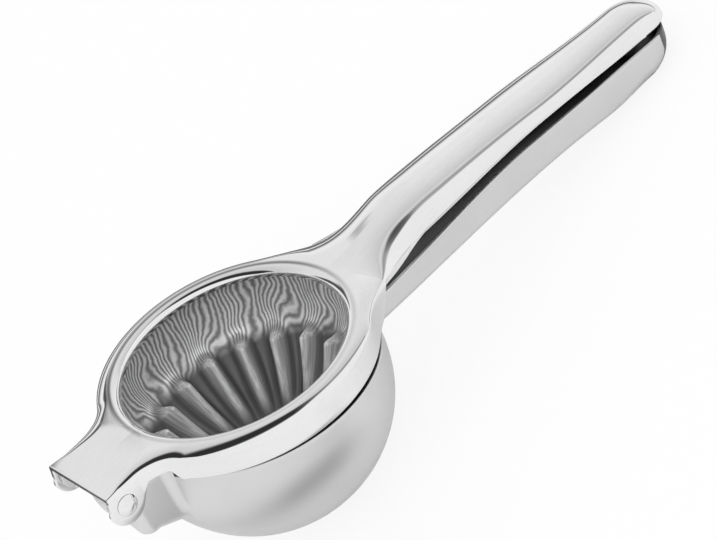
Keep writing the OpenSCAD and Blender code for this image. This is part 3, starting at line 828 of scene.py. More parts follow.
def cup_steel(s):
    """The press cup's steel: satin ribs with painted shade in the valleys between them, and above
    them a wall with wavy lines that run down from the ring and part around the ribs, painted as
    reflected stripes and raised as slight bumps. Its outside is painted near black as shade."""
    f = settings("finishes")
    material, g = new_material("cup_steel")
    local = ring_place(s, g, g.node("ShaderNodeTexCoord").out("Object"), s.cup_z)
    x, y, z = g.split(local)
    flat = (x * x + y * y) ** 0.5
    reach = (flat * flat + z * z) ** 0.5
    turn = y.math("ARCTAN2", x)
    # The wall between the ribs, its upper part, and the cup's outside
    wall = reach.ramp((s.cup_in - 4.6) * MM, (s.cup_in - 0.7) * MM)
    upper = (z / reach).ramp(-0.5, -0.36)
    outside = reach.ramp((s.cup_in + 0.3) * MM, (s.cup_in + 0.6) * MM)
    # The lines part around the ribs: they are pushed aside the nearer they come to a rib's end
    phase = (turn - math.radians(s.rib_turn)) * s.rib_count
    low = (z * -1).ramp(-2 * MM, 17 * MM)
    soft, rough_edge = g.noise(local, 60.0, 1.0), g.noise(local, 260.0, 2.0)
    pitch, push, wander, slant = 1.5 * MM, 1.8 * MM, 12 * MM, 0.25
    bent = turn * (s.cup_in * MM) + phase.math("SINE") * low * push + soft * wander
    bent = bent + rough_edge * push + z * slant
    lines = (bent * (2 * math.pi / pitch)).math("SINE") * 0.5 + 0.5
    lines = lines * (0.55 + rough_edge * 0.9)
    fine = g.noise(g.vector(X=turn * 120.0, Y=reach * 900.0, Z=z * 60.0), 1.0, 4.0)

    def tint(strength):
        return [min(c * strength, 1) for c in f.cup]

    plain = g.blend(fine.ramp(0.35, 0.65), tint(0.7), tint(1.2))
    # Painted shade: the valleys between the ribs are painted much darker
    plain = g.blend(wall, plain, tint(0.16))
    # Painted reflection: the wavy lines on the upper wall are painted as light and dark stripes
    wavy = g.blend(lines, tint(0.32), tint(1.4))
    # The cup's outside is painted near black, as the shade between the cup and the parts around it
    base = g.blend(outside, g.blend(upper * wall, plain, wavy), (0.03, 0.03, 0.03))
    roughness = f.cup_rough + (fine - 0.5) * 0.08
    bare_metal(g, base, 0.4, roughness, lines * wall * upper + fine * 0.3, 0.008)
    return material


def satin_steel():
    f = settings("finishes")
    return steel(
        "satin_steel", f.satin, f.satin_rough, wander=0.06, grain=0.15, lines=0.002, patches=45
    )


def handle_steel(s):
    f = settings("finishes")

    def inside(g, place):
        """The inside of the channel, above its web and between its walls, painted dark as the
        shade that falls there.
        """
        x, y, z = g.split(ring_place(s, g, place))
        soft, wall = 0.2 * MM, (s.rail_half - 0.75 * s.rail_sheet) * MM
        sunk = 1 - x.ramp((s.ring_r - RAIL_LOW_IN) * MM, s.high_x * MM)
        end = x.ramp(s.high_x * MM, s.rail_tip_x * MM)
        web = (s.rail_low + 0.5) * MM - sunk * (RAIL_LOW_DEEP * MM) - end * (RAIL_LOW_DROP * MM)
        between = 1 - y.math("ABSOLUTE").ramp(wall, wall + soft)
        return between * ((z - web) / soft).ramp(0, 1)

    return steel(
        "handle_steel", f.handle, f.handle_rough, wander=0.06, stretch=(0.05, 1, 1),
        grain=0.25, lines=0.003, patches=40, dull_and_painted_dark=inside,
    )


# ---------------------------------------------------------------------------------------------
# Press arm


def tab_z(s, x):
    """Height of the tab's top at a distance in front of the ring's centre."""
    return -s.tab_droop * smooth((x - s.ring_r) / (s.tab_front - s.ring_r))


def tab_round(s, x):
    """Width of the tab's rounding: narrow at its front edge, as wide as the ring's at last."""
    ring, pin = (s.ring_r - TAB_ROUND_IN, s.ring_r + TAB_ROUND_OUT), s.pin_x - TAB_ROUND_PIN
    widths = (s.ring_round, TAB_ROUND_RING, TAB_ROUND_BACK, TAB_ROUND_EAR, TAB_ROUND_FRONT)
    return curve(x, (*ring, s.tab_x, pin, s.tab_front), widths)


def ear_path(s, n):
    """Side view of the ear's edge, from the tab's front down and round to the waist's start."""
    turn = np.radians(np.linspace(EAR_FROM, EAR_TO, 70))
    arc = s.pin + s.ear_r * np.c_[np.cos(turn), np.sin(turn)]
    return resample(np.r_[arc, [[-s.tab_x, web_low(s, s.tab_x)]]], n)


def web_low(s, x):
    """Lower edge of the waist's wall beside the tab: the web of the ear, then the ring's skirt."""
    leave, end = s.skirt_in - TAB_EDGE_IN, s.skirt_in - TAB_EDGE_OUT
    skirt = ramp(x, leave, end, -s.skirt_depth, TAB_EDGE)
    knee, start = s.pin + s.ear_r * np.array(WEB_EAR), s.tab_x - WEB_BACK
    web = WEB_LOW + (knee[1] - WEB_LOW) / (-knee[0] - start) * (x - start)
    return 0.5 * (skirt + web - math.hypot(skirt - web, WEB_SOFT))


def handle_top(s, x):
    """Height of the upper handle's crown."""
    if x < s.crown_x:
        return s.crown_top * smoother((x - s.root_x) / (s.crown_x - s.root_x))
    return ramp(x, s.crown_x + CROWN_FLAT, s.tip_x, s.crown_top, s.tip_top)


def handle_edge(s, x):
    """Height of the upper handle's lower edge."""
    if x < s.high_x:
        return ramp(x, s.root_x, s.high_x, s.edge_high - EDGE_START, s.edge_high)
    return ramp(x, s.high_x, s.tip_x, s.edge_high, s.edge_tip)


def handle_w(s, x):
    """Half width of the upper handle."""
    if x < s.high_x:
        return ramp(x, s.neck_x, s.high_x, s.neck_half, s.handle_half)
    return ramp(x, s.high_x, s.tip_x, s.handle_half, s.tip_half)


def inner_point(s, d, flip):
    """Point at a distance along the centre line outside the hole, or back along the hole's rim."""
    p = np.array([s.hole_r + d, 0]) if d >= 0 else polar(s.hole_r, math.degrees(-d / s.hole_r))
    return p * [flip, 1]


def waist_steps(out, rim):
    """Shares of a waist, with the lip's own steps where its stations leave the hole's rim."""
    even = np.linspace(0, 1, WAIST_STEPS + 1)
    near = (out - np.r_[-LIP_STEPS[1:], LIP_STEPS]) / (out + rim)
    apart = 0.004
    kept = [t for t in even if np.min(np.abs(near - t)) > apart]
    return np.sort(np.r_[kept, near])


def tab_stations(s):
    """From the tab's rounded front edge back to its waist."""
    r = s.edge_round
    turn = np.radians(np.linspace(0, 90, EDGE_STEPS + 1))
    front = list(zip(s.tab_front - r * (1 - np.cos(turn)), r * (1 - np.sin(turn))))
    straight = front + [(x, 0) for x in np.linspace(s.tab_front - r, s.tab_x, TAB_STEPS + 1)[1:]]
    for (x, inset), (ex, ez) in zip(straight, ear_path(s, len(straight))):
        a, foot = tab_round(s, x), (ex, s.tab_half, ez)
        yield station(
            (-x, 0), (-x, s.tab_half), tab_z(s, x), a, min(a, s.ring_fall), 0, True, foot, inset
        )


def ring_stations(s):
    """Along the tab's waist, round one side of the ring, and along the handle's waist."""
    tab_angle = math.degrees(math.atan2(s.tab_half + s.tab_waist, s.tab_x))
    neck_angle = math.degrees(math.atan2(s.neck_half + s.neck_waist, s.neck_x))
    out, rim = s.tab_x - s.hole_r, s.hole_r * math.radians(tab_angle)
    centre = [-s.tab_x, s.tab_half + s.tab_waist]
    for t in waist_steps(out, rim)[1:]:
        d = mix(out, -rim, t)
        p = polar(s.tab_waist, mix(270, 360 - tab_angle, t)) + centre
        a, x = tab_round(s, -p[0]), -p[0]
        yield station(
            inner_point(s, d, -1), p, tab_z(s, x), a, min(a, s.ring_fall), web_low(s, x),
            d > -NEARLY, power=mix(2, SLOPING, smooth(t)),
        )
    for t in np.linspace(0, 1, RING_STEPS + 1)[1:-1]:
        g = mix(180 - tab_angle, neck_angle, t)
        yield station(
            polar(s.hole_r, g), polar(s.ring_r, g), 0, s.ring_round, s.ring_fall,
            -s.skirt_depth, False, power=SLOPING,
        )
    out, rim = s.neck_x - s.hole_r, s.hole_r * math.radians(neck_angle)
    centre = [s.neck_x, s.neck_half + s.neck_waist]
    deep = handle_top(s, s.neck_x) - handle_edge(s, s.neck_x) - EDGE_WALL
    for t in 1 - waist_steps(out, rim)[::-1]:
        d = mix(-rim, out, t)
        q = inner_point(s, d, 1)
        p = polar(s.neck_waist, mix(180 + neck_angle, 270, t)) + centre
        yield station(
            q, p, handle_top(s, q[0]) if d > 0 else 0,
            mix(s.ring_round, CROWN_SHARE * np.linalg.norm(p - q), smooth(t)),
            mix(s.ring_fall, deep, smooth(t)),
            ramp(t, CLIMB_FROM, CLIMB_TO, -s.skirt_depth, handle_edge(s, p[0])), d > -NEARLY,
            power=mix(SLOPING, 2, smooth(t)),
        )


def handle_stations(s):
    """From the handle's neck to its round tip."""
    for x in np.linspace(s.neck_x, s.tip_x, HANDLE_STEPS + 1)[1:]:
        w, top, edge = handle_w(s, x), handle_top(s, x), handle_edge(s, x)
        yield station((x, 0), (x, w), top, CROWN_SHARE * w, top - edge - EDGE_WALL, edge, True)
    top = handle_top(s, s.tip_x)
    for p in tip_points(s, s.tip_x, s.tip_half):
        yield station(
            (s.tip_x, 0), p, top, CROWN_SHARE * math.hypot(p[0] - s.tip_x, p[1]),
            top - s.edge_tip - EDGE_WALL, s.edge_tip, True,
        )


def tip_points(s, x, w):
    """Outline of a handle's round end, from its straight side to the centre line."""
    t = 0.5 - 0.5 * np.cos(np.linspace(0, math.pi, TIP_STEPS + 1)[1:])
    a = t * math.pi / 2
    far = s.tip_round * np.sin(a) ** (2 / TIP_POWER)
    side = w * np.maximum(np.cos(a), 0) ** (2 / TIP_POWER)
    side[-1] = 0
    return np.c_[x + far, side]


def lower_lip(s, rows):
    """Rolls the hole's edge down: the top rounds over and runs down to the lip's lower edge, and
    the underside follows it there."""

    def fall(gap, start, depth):
        u = np.clip((s.lip_round - gap) / (s.lip_round - start), 0, 1)
        return depth * (1 - (1 - u**LIP_POWER) ** (1 / LIP_POWER))

    n = FLAT_STEPS + ROUND_STEPS
    for row in rows:
        gap = np.hypot(row[:, 0], row[:, 1]) - s.hole_r
        row[:n, 2] -= fall(gap[:n], 0, s.lip_fall)
        row[-n:, 2] -= fall(gap[-n:], s.arm_sheet, s.lip_deep - s.arm_sheet)


# ---------------------------------------------------------------------------------------------
# Lower handle, neck and bowl


def rail_top(s, x):
    """Height of the lower handle's top edge."""
    start, end = -s.skirt_depth - RAIL_TOP_DROP, s.rail_top_tip - RAIL_TOP_RISE
    low = ramp(x, s.ring_r - RAIL_TOP_IN, s.high_x - RAIL_TOP_EARLY, start, end)
    lift = ramp(x, s.ring_r + RAIL_LIFT_OUT, s.high_x - RAIL_LIFT_EARLY, 0, RAIL_LIFT)
    return low + lift + ramp(x, s.high_x, s.rail_tip_x, 0, RAIL_LIFT_RISE)


def rail_bottom(s, x):
    """Height of the lower handle's underside."""
    low = s.rail_low
    if x < s.high_x:
        return ramp(x, s.ring_r - RAIL_LOW_IN, s.high_x, low - RAIL_LOW_DEEP, low)
    return ramp(x, s.high_x, s.rail_tip_x, low, low - RAIL_LOW_DROP)


def bowl_gap_at(s, point, radius):
    """How far a point stands outside a surface of that radius, which is round below the bowl's
    centre and straight above it."""
    x, y, z = point
    low = min(z + s.bowl_drop, 0)
    return math.sqrt(x * x + y * y + low * low) - radius


def trim(s, line, k, near, far, radius, push=0):
    """Distance along X at which point k of the sections, pushed off them, meets the bowl."""
    for _ in range(40):
        middle = (near + far) / 2
        if bowl_gap_at(s, line(middle)[k] + push, radius) < 0:
            near = middle
        else:
            far = middle
    return (near + far) / 2


def rail_station(s, x):
    """The lower handle cut across, as a channel that is open above."""
    start, r = s.rail_tip_x - RAIL_BLEND_RUN, s.rail_round
    r = ramp(x, start, s.rail_tip_x, r, r + RAIL_BLEND)
    return station((x, 0), (x, s.rail_half), rail_bottom(s, x), r, r, rail_top(s, x), True)


def one_section(s, make, t, r):
    """Section of a channel at one place, where its edge runs nearly straight."""

    def line(x):
        slope = make(s, x + 0.5).foot - make(s, x - 0.5).foot
        out = np.cross(slope, [0, 1, 0])
        out *= np.sign(out[2]) / np.linalg.norm(out)
        return section(make(s, x), out, t, -1, r)

    return line


def lower_handle_rows(s):
    """The lower handle's sections, from the bowl's wall to its round end."""
    line = one_section(s, rail_station, s.rail_sheet, s.edge_round)
    inside, clear = RAIL_MEET
    size, meet = len(line(clear)), s.bowl_r + s.weld_gap
    start = [trim(s, line, k, inside, clear, meet) for k in range(size)]
    rows = []
    for t in np.linspace(0, 1, HANDLE_MEET_STEPS + 1)[:-1]:
        rows.append([line(mix(start[k], clear, t))[k] for k in range(size)])
    end, r = s.rail_tip_x, s.rail_round + RAIL_BLEND
    rest = [rail_station(s, x) for x in np.linspace(clear, end, HANDLE_STEPS)]
    for i, p in enumerate(tip_points(s, end, s.rail_half)):
        t = (i + 1) / TIP_STEPS
        a = ramp(t, 0, RAIL_BLEND_TO, r, CROWN_SHARE * s.tip_round)
        h = ramp(t, 0, RAIL_BLEND_TO, r, s.rail_depth)
        rest.append(station((end, 0), p, rail_bottom(s, end), a, h, rail_top(s, end), True))
    return np.r_[np.array(rows), sections(rest, s.rail_sheet, -1, s.edge_round)]


def neck_low(s, x):
    """Underside of the neck at a distance from the ring's centre."""
    front, back = s.pin_x - NECK_FLOOR, s.bowl_r - NECK_IN
    return -s.pin_drop - s.neck_depth - NECK_DEEP * (front - x) / (front - back)


def neck_high(s, x):
    """Top edge of the neck's sides: under the bowl's rim, then up to the ears."""
    rim, ears = -s.skirt_depth - NECK_LAP, -s.pin_drop + NECK_SHOULDER
    return ramp(x, s.bowl_r - NECK_RIM, s.skirt_in + NECK_OUT, rim, ears)


def neck_station(s, x):
    """The neck cut across, as a channel that is open above."""
    return station((-x, 0), (-x, s.neck_out), neck_low(s, x), *NECK_ROUND, neck_high(s, x), True)


def neck_rows(s):
    """The neck, from the bowl's wall with a soft hollow, along its sides and round its front."""
    sheet, r = s.bowl_sheet, s.edge_round
    line = one_section(s, neck_station, sheet, r)
    inside, clear = NECK_MEET
    shape = line(clear)
    n = len(shape)
    outer = FLAT_STEPS + ROUND_STEPS + WALL_STEPS
    tangent = np.gradient(shape, axis=0)
    normal = np.cross(tangent, [1, 0, 0])
    normal /= np.maximum(np.linalg.norm(normal, axis=1), NEARLY)[:, None]
    if normal[0, 2] > 0:
        normal = -normal
    # A ball of the hollow's radius that touches both the neck and the bowl gives the hollow's arc,
    # whose first point lies inside the bowl's wall
    ball, lap, arcs, start = s.neck_blend, 0.25, [], []
    for k in range(n):
        push = normal[k] * ball if k <= outer else np.zeros(3)
        radius = s.bowl_r + ball if k <= outer else s.bowl_r - 0.5 * sheet
        start.append(trim(s, line, k, inside, clear, radius, push))
        at = line(start[k])[k] + push
        axis = np.array([0, 0, max(at[2], -s.bowl_drop)])
        inward = (axis - at) / np.linalg.norm(axis - at)
        arc = []
        for t in np.linspace(0, 1, HOLLOW_STEPS + 1):
            way = mix(inward, -normal[k], t)
            long = ball + (lap if t == 0 else 0)
            arc.append(at + way / np.linalg.norm(way) * long if k <= outer else at)
        arcs.append(arc)
    rows = [[arc[i] for arc in arcs] for i in range(HOLLOW_STEPS + 1)]
    for t in np.linspace(0, 1, NECK_MEET_STEPS + 1)[1:-1]:
        rows.append([line(mix(start[k], clear, t))[k] for k in range(n)])
    # Round the front: along the side, round the corner, and across to the middle
    corner, front = NECK_CORNER, s.pin_x - NECK_FRONT
    side = front - corner
    turn = np.radians(np.linspace(0, 90, 9))
    bend = np.c_[side + corner * np.sin(turn), s.neck_out - corner * (1 - np.cos(turn))]
    outline = np.r_[[[clear, s.neck_out]], bend, [[front, 0]]]
    rest = []
    for x, y in resample(outline, NECK_FRONT_STEPS + 1):
        t = smooth((x - side + 1) / (corner + 1))
        a, h = (mix(*ends, t) for ends in zip(NECK_ROUND, NECK_FRONT_ROUND))
        drop = smooth((x - side) / (0.7 * corner))
        edge = mix(neck_high(s, x), -s.pin_drop + NECK_HIGH, drop)
        rest.append(station((-clear, 0), (-x, y), neck_low(s, clear), a, h, edge, True))
    return np.r_[np.array(rows), sections(rest, sheet, -1, r)]


def neck_ears(s):
    """Two plates beside the neck's walls with the pin's holes, as loops from the hole outwards."""
    m = 96
    turn = np.radians(np.arange(m) * 360 / m)
    ray = np.c_[np.cos(turn), np.sin(turn)]
    # Web from the ear back and down into the neck's wall
    corners = np.array(EAR_WEB)
    web = np.zeros(m)
    for a, b in zip(corners[:-1], corners[1:]):
        edge = b - a
        side = np.array([edge[1], -edge[0]]) / np.linalg.norm(edge)
        for i, d in enumerate(ray):
            if d @ side * (a @ side) > 0:
                hit = (a @ side) / (d @ side)
                at = (hit * d - a) @ edge / (edge @ edge)
                if 0 <= at <= 1:
                    web[i] = hit
    rim = np.maximum(web, s.inner_ear_r)
    # One face from the hole to the rim and over its edge, as (radius, depth), and the other back
    face = [(s.pin_r + s.pin_gap, 0)]
    for a in np.radians(np.linspace(0, 90, EDGE_STEPS + 1)):
        face.append((rim - EAR_EDGE * (1 - math.sin(a)), EAR_EDGE * (1 - math.cos(a))))
    outside, inside = s.neck_out - EAR_PLAY, s.neck_out - s.bowl_sheet + EAR_PLAY
    levels = [(radius, outside - deep) for radius, deep in face]
    levels += [(radius, inside + deep) for radius, deep in face[::-1]]
    loops = []
    for radius, y in levels:
        x, z = radius * ray.T + s.pin[:, None]
        loops.append(np.c_[x, np.full(m, y), z])
    faces = []
    for i in range(len(loops)):
        j = (i + 1) % len(loops)
        for k in range(m):
            b = (k + 1) % m
            faces.append((i * m + k, i * m + b, j * m + b, j * m + k))
    return doubled(np.concatenate(loops), faces)


def bowl_profile(s):
    """Wall of the bowl as (radius, height above its centre), from the drain hole round the outside
    to the rim and back down the inside."""
    lip = s.bowl_drop - s.skirt_depth - s.rim_gap
    lip -= s.ring_r * math.tan(math.radians(s.rim_slope))
    r = s.edge_round
    first = math.degrees(math.asin(s.drain_r / s.bowl_r))
    line = [polar(s.bowl_r, a) for a in np.linspace(first - 90, 0, 64)]
    line += [(s.bowl_r, h) for h in np.linspace(0, lip - r, 6)[1:]]
    turn = np.radians(np.linspace(0, 90, EDGE_STEPS + 1)[1:])
    line += [(s.bowl_r - r + r * math.cos(a), lip - r + r * math.sin(a)) for a in turn]
    line += [(s.bowl_in + r - r * math.cos(a), lip - r + r * math.sin(a)) for a in turn[::-1]]
    line += [(s.bowl_in, h) for h in np.linspace(lip - r, 0, 6)]
    first = math.degrees(math.asin(s.drain_r / s.bowl_in))
    line += [polar(s.bowl_in, a) for a in np.linspace(0, first - 90, 64)[1:]]
    return np.array(line)


def new_tree(name, inputs):
    """A geometry tree with a geometry output and named inputs, as its graph and their sockets.
    Whole numbers make integer inputs."""
    tree = bpy.data.node_groups.new(name, "GeometryNodeTree")
    tree.interface.new_socket("Geometry", in_out="OUTPUT", socket_type="NodeSocketGeometry")
    for label, value in inputs.items():
        kind = "NodeSocketInt" if isinstance(value, int) else "NodeSocketFloat"
        socket = tree.interface.new_socket(label, in_out="INPUT", socket_type=kind)
        socket.default_value = value
    graph = Graph(tree)
    source = graph.node("NodeGroupInput")
    return graph, {label: source.out(label) for label in inputs}


def grow(name, tree, inputs):
    """Runs a geometry tree on an empty mesh and keeps the result as a plain mesh."""
    obj = linked(name, bpy.data.meshes.new(name))
    modifier = obj.modifiers.new("shape", "NODES")
    modifier.node_group = tree
    for item in tree.interface.items_tree:
        if item.item_type == "SOCKET" and item.in_out == "INPUT" and item.name in inputs:
            modifier[item.identifier] = inputs[item.name]
    return baked(obj)


def finish_tree(graph, geometry, material):
    """Ends a geometry tree: real geometry with its steel."""
    real = graph.node("GeometryNodeRealizeInstances", values={"Geometry": geometry})
    dressed = graph.node(
        "GeometryNodeSetMaterial", values={"Geometry": real, "Material": material}
    )
    graph.node("NodeGroupOutput", values={"Geometry": dressed})


def slot_cutters(s, material):
    """Cutters for the drain slots: one long block with round ends, repeated around the bowl's
    axis. The first lies one and a half pitches from the handle."""
    g, put = new_tree(
        "drain_slots",
        {
            "Count": s.slot_count,
            "Width": s.slot_w * MM,
            "From": s.slot_from * MM,
            "To": s.slot_to * MM,
            "Depth": 20 * MM,
        },
    )
    half = put["Width"] * 0.5
    dots = {"Start": g.vector(X=put["From"] + half), "End": g.vector(X=put["To"] - half)}
    rail = g.node("GeometryNodeCurvePrimitiveLine", values=dots)
    # The outline of a long hole is the hull of two circles
    disc = g.node(
        "GeometryNodeMeshCircle", {"fill_type": "NGON"}, {"Vertices": 24, "Radius": half}
    )
    spots = g.node("GeometryNodeCurveToPoints", {"mode": "COUNT"}, {"Curve": rail, "Count": 2})
    discs = g.node("GeometryNodeInstanceOnPoints", values={"Points": spots, "Instance": disc})
    flat = g.node("GeometryNodeRealizeInstances", values={"Geometry": discs})
    shift = g.vector(Z=put["Depth"])
    raised = g.node("GeometryNodeTransform", values={"Geometry": flat, "Translation": shift})
    both = g.node("GeometryNodeJoinGeometry", values={"Geometry": flat})
    g.tree.links.new(raised.socket, both.node.inputs[0])
    block = g.node("GeometryNodeConvexHull", values={"Geometry": both})
    around = g.node("GeometryNodeMeshCircle", values={"Vertices": put["Count"], "Radius": 1.0})
    turn = (g.node("GeometryNodeInputIndex") + 1.5) * (2 * math.pi) / put["Count"]
    home = g.node("GeometryNodeSetPosition", values={"Geometry": around, "Position": (0, 0, 0)})
    ring = g.node(
        "GeometryNodeInstanceOnPoints",
        values={"Points": home, "Instance": block, "Rotation": g.vector(Z=turn)},
    )
    finish_tree(g, ring, material)
    return grow("drain_slot_cutters", g.tree, {"Count": s.slot_count})


def press_cup_tree(s, material):
    """Surface of the press cup's inside: a straight band, then a half ball with pressed ribs that
    stand up from it like fingers with round ends."""
    g, put = new_tree(
        "ribbed_cup",
        {
            "Radius": s.cup_in * MM,
            "Top": s.cup_top * MM,
            "Centre": s.cup_z * MM,
            "Ribs": s.rib_count,
            "Rib height": s.rib_height * MM,
            "Rib half width": s.rib_half * MM,
            "Rib top": math.radians(s.rib_top),
            "Rib low end": math.radians(s.rib_low),
            "Rib turn": math.radians(s.rib_turn),
            "Across": CUP_ACROSS * s.rib_count + 1,
            "Down": CUP_DOWN,
        },
    )
    grid = g.node(
        "GeometryNodeMeshGrid",
        values={
            "Size X": 1.0,
            "Size Y": 1.0,
            "Vertices X": put["Across"],
            "Vertices Y": put["Down"],
        },
    )
    radius, centre, half = put["Radius"], put["Centre"], put["Rib half width"]
    x, y, _ = g.split(g.node("GeometryNodeInputPosition"))
    down = 0.5 - y
    # Rows: the band, then most of them where the ribs end, then down to the middle
    band, dense = CUP_BAND_ROWS, CUP_KNEE_ROWS
    upper = ((down - band) / (dense - band)).least(0.0).most(1.0)
    lower = ((down - dense) / (1 - dense)).least(0.0)
    angle = math.pi / 2 - upper * (math.pi / 2 - CUP_KNEE) - lower * CUP_KNEE
    along = (down / band).most(1.0)
    # Columns: most of them across each rib, the rest over the valley beside it
    step = (x + 0.5) * put["Ribs"]
    rib = step.math("ROUND")
    w = (step - rib) * 2
    half_pitch = math.pi / put["Ribs"]
    arc = (radius * angle.math("SINE")).least(1e-7)
    valley = half_pitch * arc
    foot = (half * RIB_FOOT).most(valley)
    size = w.math("ABSOLUTE")
    inside = (size / RIB_COLUMNS).most(1.0) * foot
    outside = ((size - RIB_COLUMNS) / (1 - RIB_COLUMNS)).least(0.0) * (valley - foot)
    across = inside + outside
    turn = rib * half_pitch * 2 + w.math("SIGN") * across / arc + put["Rib turn"]
    # A rib stands up like a finger: its side falls away steeply and runs out softly into the wall
    above = (angle - put["Rib top"] + RIB_END).least(0.0) * radius * RIB_END_LONG

    def side(distance):
        away = (distance * distance + above * above) / (half * half)
        return 1 / (1 + away * RIB_TAIL + away * away)

    shape = side(across) + side(2 * valley - across)
    grown = (angle - put["Rib low end"]) / (put["Rib top"] - put["Rib low end"])
    grown = grown.least(0.0).most(1.0)
    ball = radius - put["Rib height"] * shape * (grown * (2 - grown))
    flat = ball * angle.math("SINE")
    z = centre - ball * angle.math("COSINE") + (1 - along) * (put["Top"] - centre)
    point = g.vector(X=flat * turn.math("COSINE"), Y=flat * turn.math("SINE"), Z=z)
    moved = g.node("GeometryNodeSetPosition", values={"Geometry": grid, "Position": point})
    closed = g.node("GeometryNodeMergeByDistance", values={"Geometry": moved, "Distance": 1e-6})
    finish_tree(g, closed, material)
    return g.tree


# ---------------------------------------------------------------------------------------------
# Operators


class SQUEEZER_OT_press_arm(Operator):
    """Makes the stamped upper arm: tab with its ears, ring with its skirt, and handle"""

    bl_idname = "squeezer.press_arm"
    bl_label = "Press arm"

    def execute(self, context):
        s = plan()
        stations = [*tab_stations(s), *ring_stations(s), *handle_stations(s)]
        rows = sections(stations, s.arm_sheet, 1, s.edge_round)
        lower_lip(s, rows)
        points, faces = skin(rows, [t.mid for t in stations], 1)
        arm = make_piece("press_arm_steel", lay(s, points), faces, 50)
        settle(arm, polished_steel(s), "polished_steel", body_of("press_arm"), "press_arm")
        return {"FINISHED"}


class SQUEEZER_OT_press_cup(Operator):
    """Makes the ribbed press cup under the ring"""

    bl_idname = "squeezer.press_cup"
    bl_label = "Press cup"

    def execute(self, context):
        s = plan()
        material = cup_steel(s)
        cup = grow("press_cup_steel", press_cup_tree(s, material), {"Ribs": s.rib_count})
        wall = cup.modifiers.new("wall", "SOLIDIFY")
        wall.thickness = s.cup_sheet * MM
        wall.offset = 1
        wall.use_even_offset = True
        baked(cup)
        place_points(cup, lay(s, coordinates(cup) / MM))
        shade(cup, 50)
        settle(cup, material, "cup_steel", body_of("press_cup"), "press_cup")
        return {"FINISHED"}


class SQUEEZER_OT_juice_bowl(Operator):
    """Makes the juice bowl with its drain slots, its neck and the neck's ears"""

    bl_idname = "squeezer.juice_bowl"
    bl_label = "Juice bowl"

    def execute(self, context):
        s = plan()
        material = satin_steel()
        points, faces = lathe(bowl_profile(s), 180)
        points = tilt(points, s.rim_slope) - [0, 0, s.bowl_drop]
        bowl = make_piece("juice_bowl_steel", points * MM, faces)
        cutters = slot_cutters(s, material)
        below = s.bowl_drop + s.bowl_r + 1
        place_points(cutters, coordinates(cutters) - [0, 0, below * MM])
        cut(bowl, cutters)
        parts = [(coordinates(bowl) / MM, [tuple(f.vertices) for f in bowl.data.polygons])]
        bpy.data.objects.remove(bowl)
        rows = neck_rows(s)
        points, faces = skin(rows, [True] * len(rows), -1)
        parts += [(points, turned(faces)), neck_ears(s)]
        points, faces = joined(parts)
        bowl = make_piece("juice_bowl_steel", lay(s, points), faces, 35)
        settle(bowl, material, "satin_steel", body_of("juice_bowl"), "juice_bowl")
        return {"FINISHED"}


class SQUEEZER_OT_lower_handle(Operator):
    """Makes the channel-shaped lower handle that is welded to the bowl"""

    bl_idname = "squeezer.lower_handle"
    bl_label = "Lower handle"

    def execute(self, context):
        s = plan()
        rows = lower_handle_rows(s)
        points, faces = skin(rows, [True] * len(rows), -1)
        handle = make_piece("lower_handle_steel", lay(s, points), faces, 50)
        settle(handle, handle_steel(s), "handle_steel", body_of("lower_handle"), "lower_handle")
        return {"FINISHED"}


def along_pin(s, points):
    """Turns points that were drawn around z so that they lie around the pin's axis."""
    points = np.asarray(points)
    return np.c_[s.pin[0] + points[:, 0], points[:, 2], s.pin[1] + points[:, 1]]


class SQUEEZER_OT_hinge_pin(Operator):
    """Makes the hinge rivet with its two domed heads"""

    bl_idname = "squeezer.hinge_pin"
    bl_label = "Hinge pin"

    def execute(self, context):
        s = plan()
        root = s.ear_out + s.washer_gap
        ball = (s.head_r**2 + s.head_h**2) / (2 * s.head_h)
        last = math.asin(s.head_r / ball)
        top = root + s.head_h - ball
        dome = [(ball * math.sin(a), top + ball * math.cos(a)) for a in np.linspace(0, last, 20)]
        half = dome + [(s.head_r - HEAD_EDGE, root), (s.pin_r, root)]
        profile = half + [(r, -h) for r, h in half[::-1]]
        points, faces = lathe(profile, 64, closed=False)
        pin = make_piece("hinge_pin_steel", lay(s, along_pin(s, points)), turned(faces), 40)
        f = settings("finishes")
        metal = steel(
            "pin_steel", f.polished, f.polished_rough, wander=0.04, grain=0.5, lines=0.001,
            patches=300,
        )
        settle(pin, metal, "pin_steel", body_of("hinge_pin"), "hinge_pin")
        return {"FINISHED"}


class SQUEEZER_OT_hinge_washers(Operator):
    """Makes the two washers between the nested ears"""

    bl_idname = "squeezer.hinge_washers"
    bl_label = "Hinge washers"

    def execute(self, context):
        s = plan()
        inner, low = s.pin_r + s.pin_gap, s.neck_out + s.washer_gap
        outer, high, r = s.washer_r, low + s.washer_h, WASHER_EDGE
        profile = [(inner, low), (outer - r, low), (outer, low + r)]
        profile += [(outer, high - r), (outer - r, high), (inner, high)]
        points, faces = lathe(profile, 64)
        points, faces = doubled(along_pin(s, points), turned(faces))
        washers = make_piece("hinge_washers_steel", lay(s, points), faces, 40)
        f = settings("finishes")
        metal = steel(
            "washer_steel", f.satin, f.handle_rough, wander=0.05, grain=0.3, lines=0.002,
            patches=200,
        )
        settle(washers, metal, "washer_steel", body_of("hinge_washers"), "hinge_washers")
        return {"FINISHED"}


def sheet(name, low, high, height):
    """A flat rectangle between two corners (x, y)."""
    mesh = bpy.data.meshes.new(name)
    (a, b), (c, d) = low, high
    corners = [(a, b, height), (c, b, height), (c, d, height), (a, d, height)]
    mesh.from_pydata(corners, [], [(0, 1, 2, 3)])
    return linked(name, mesh)


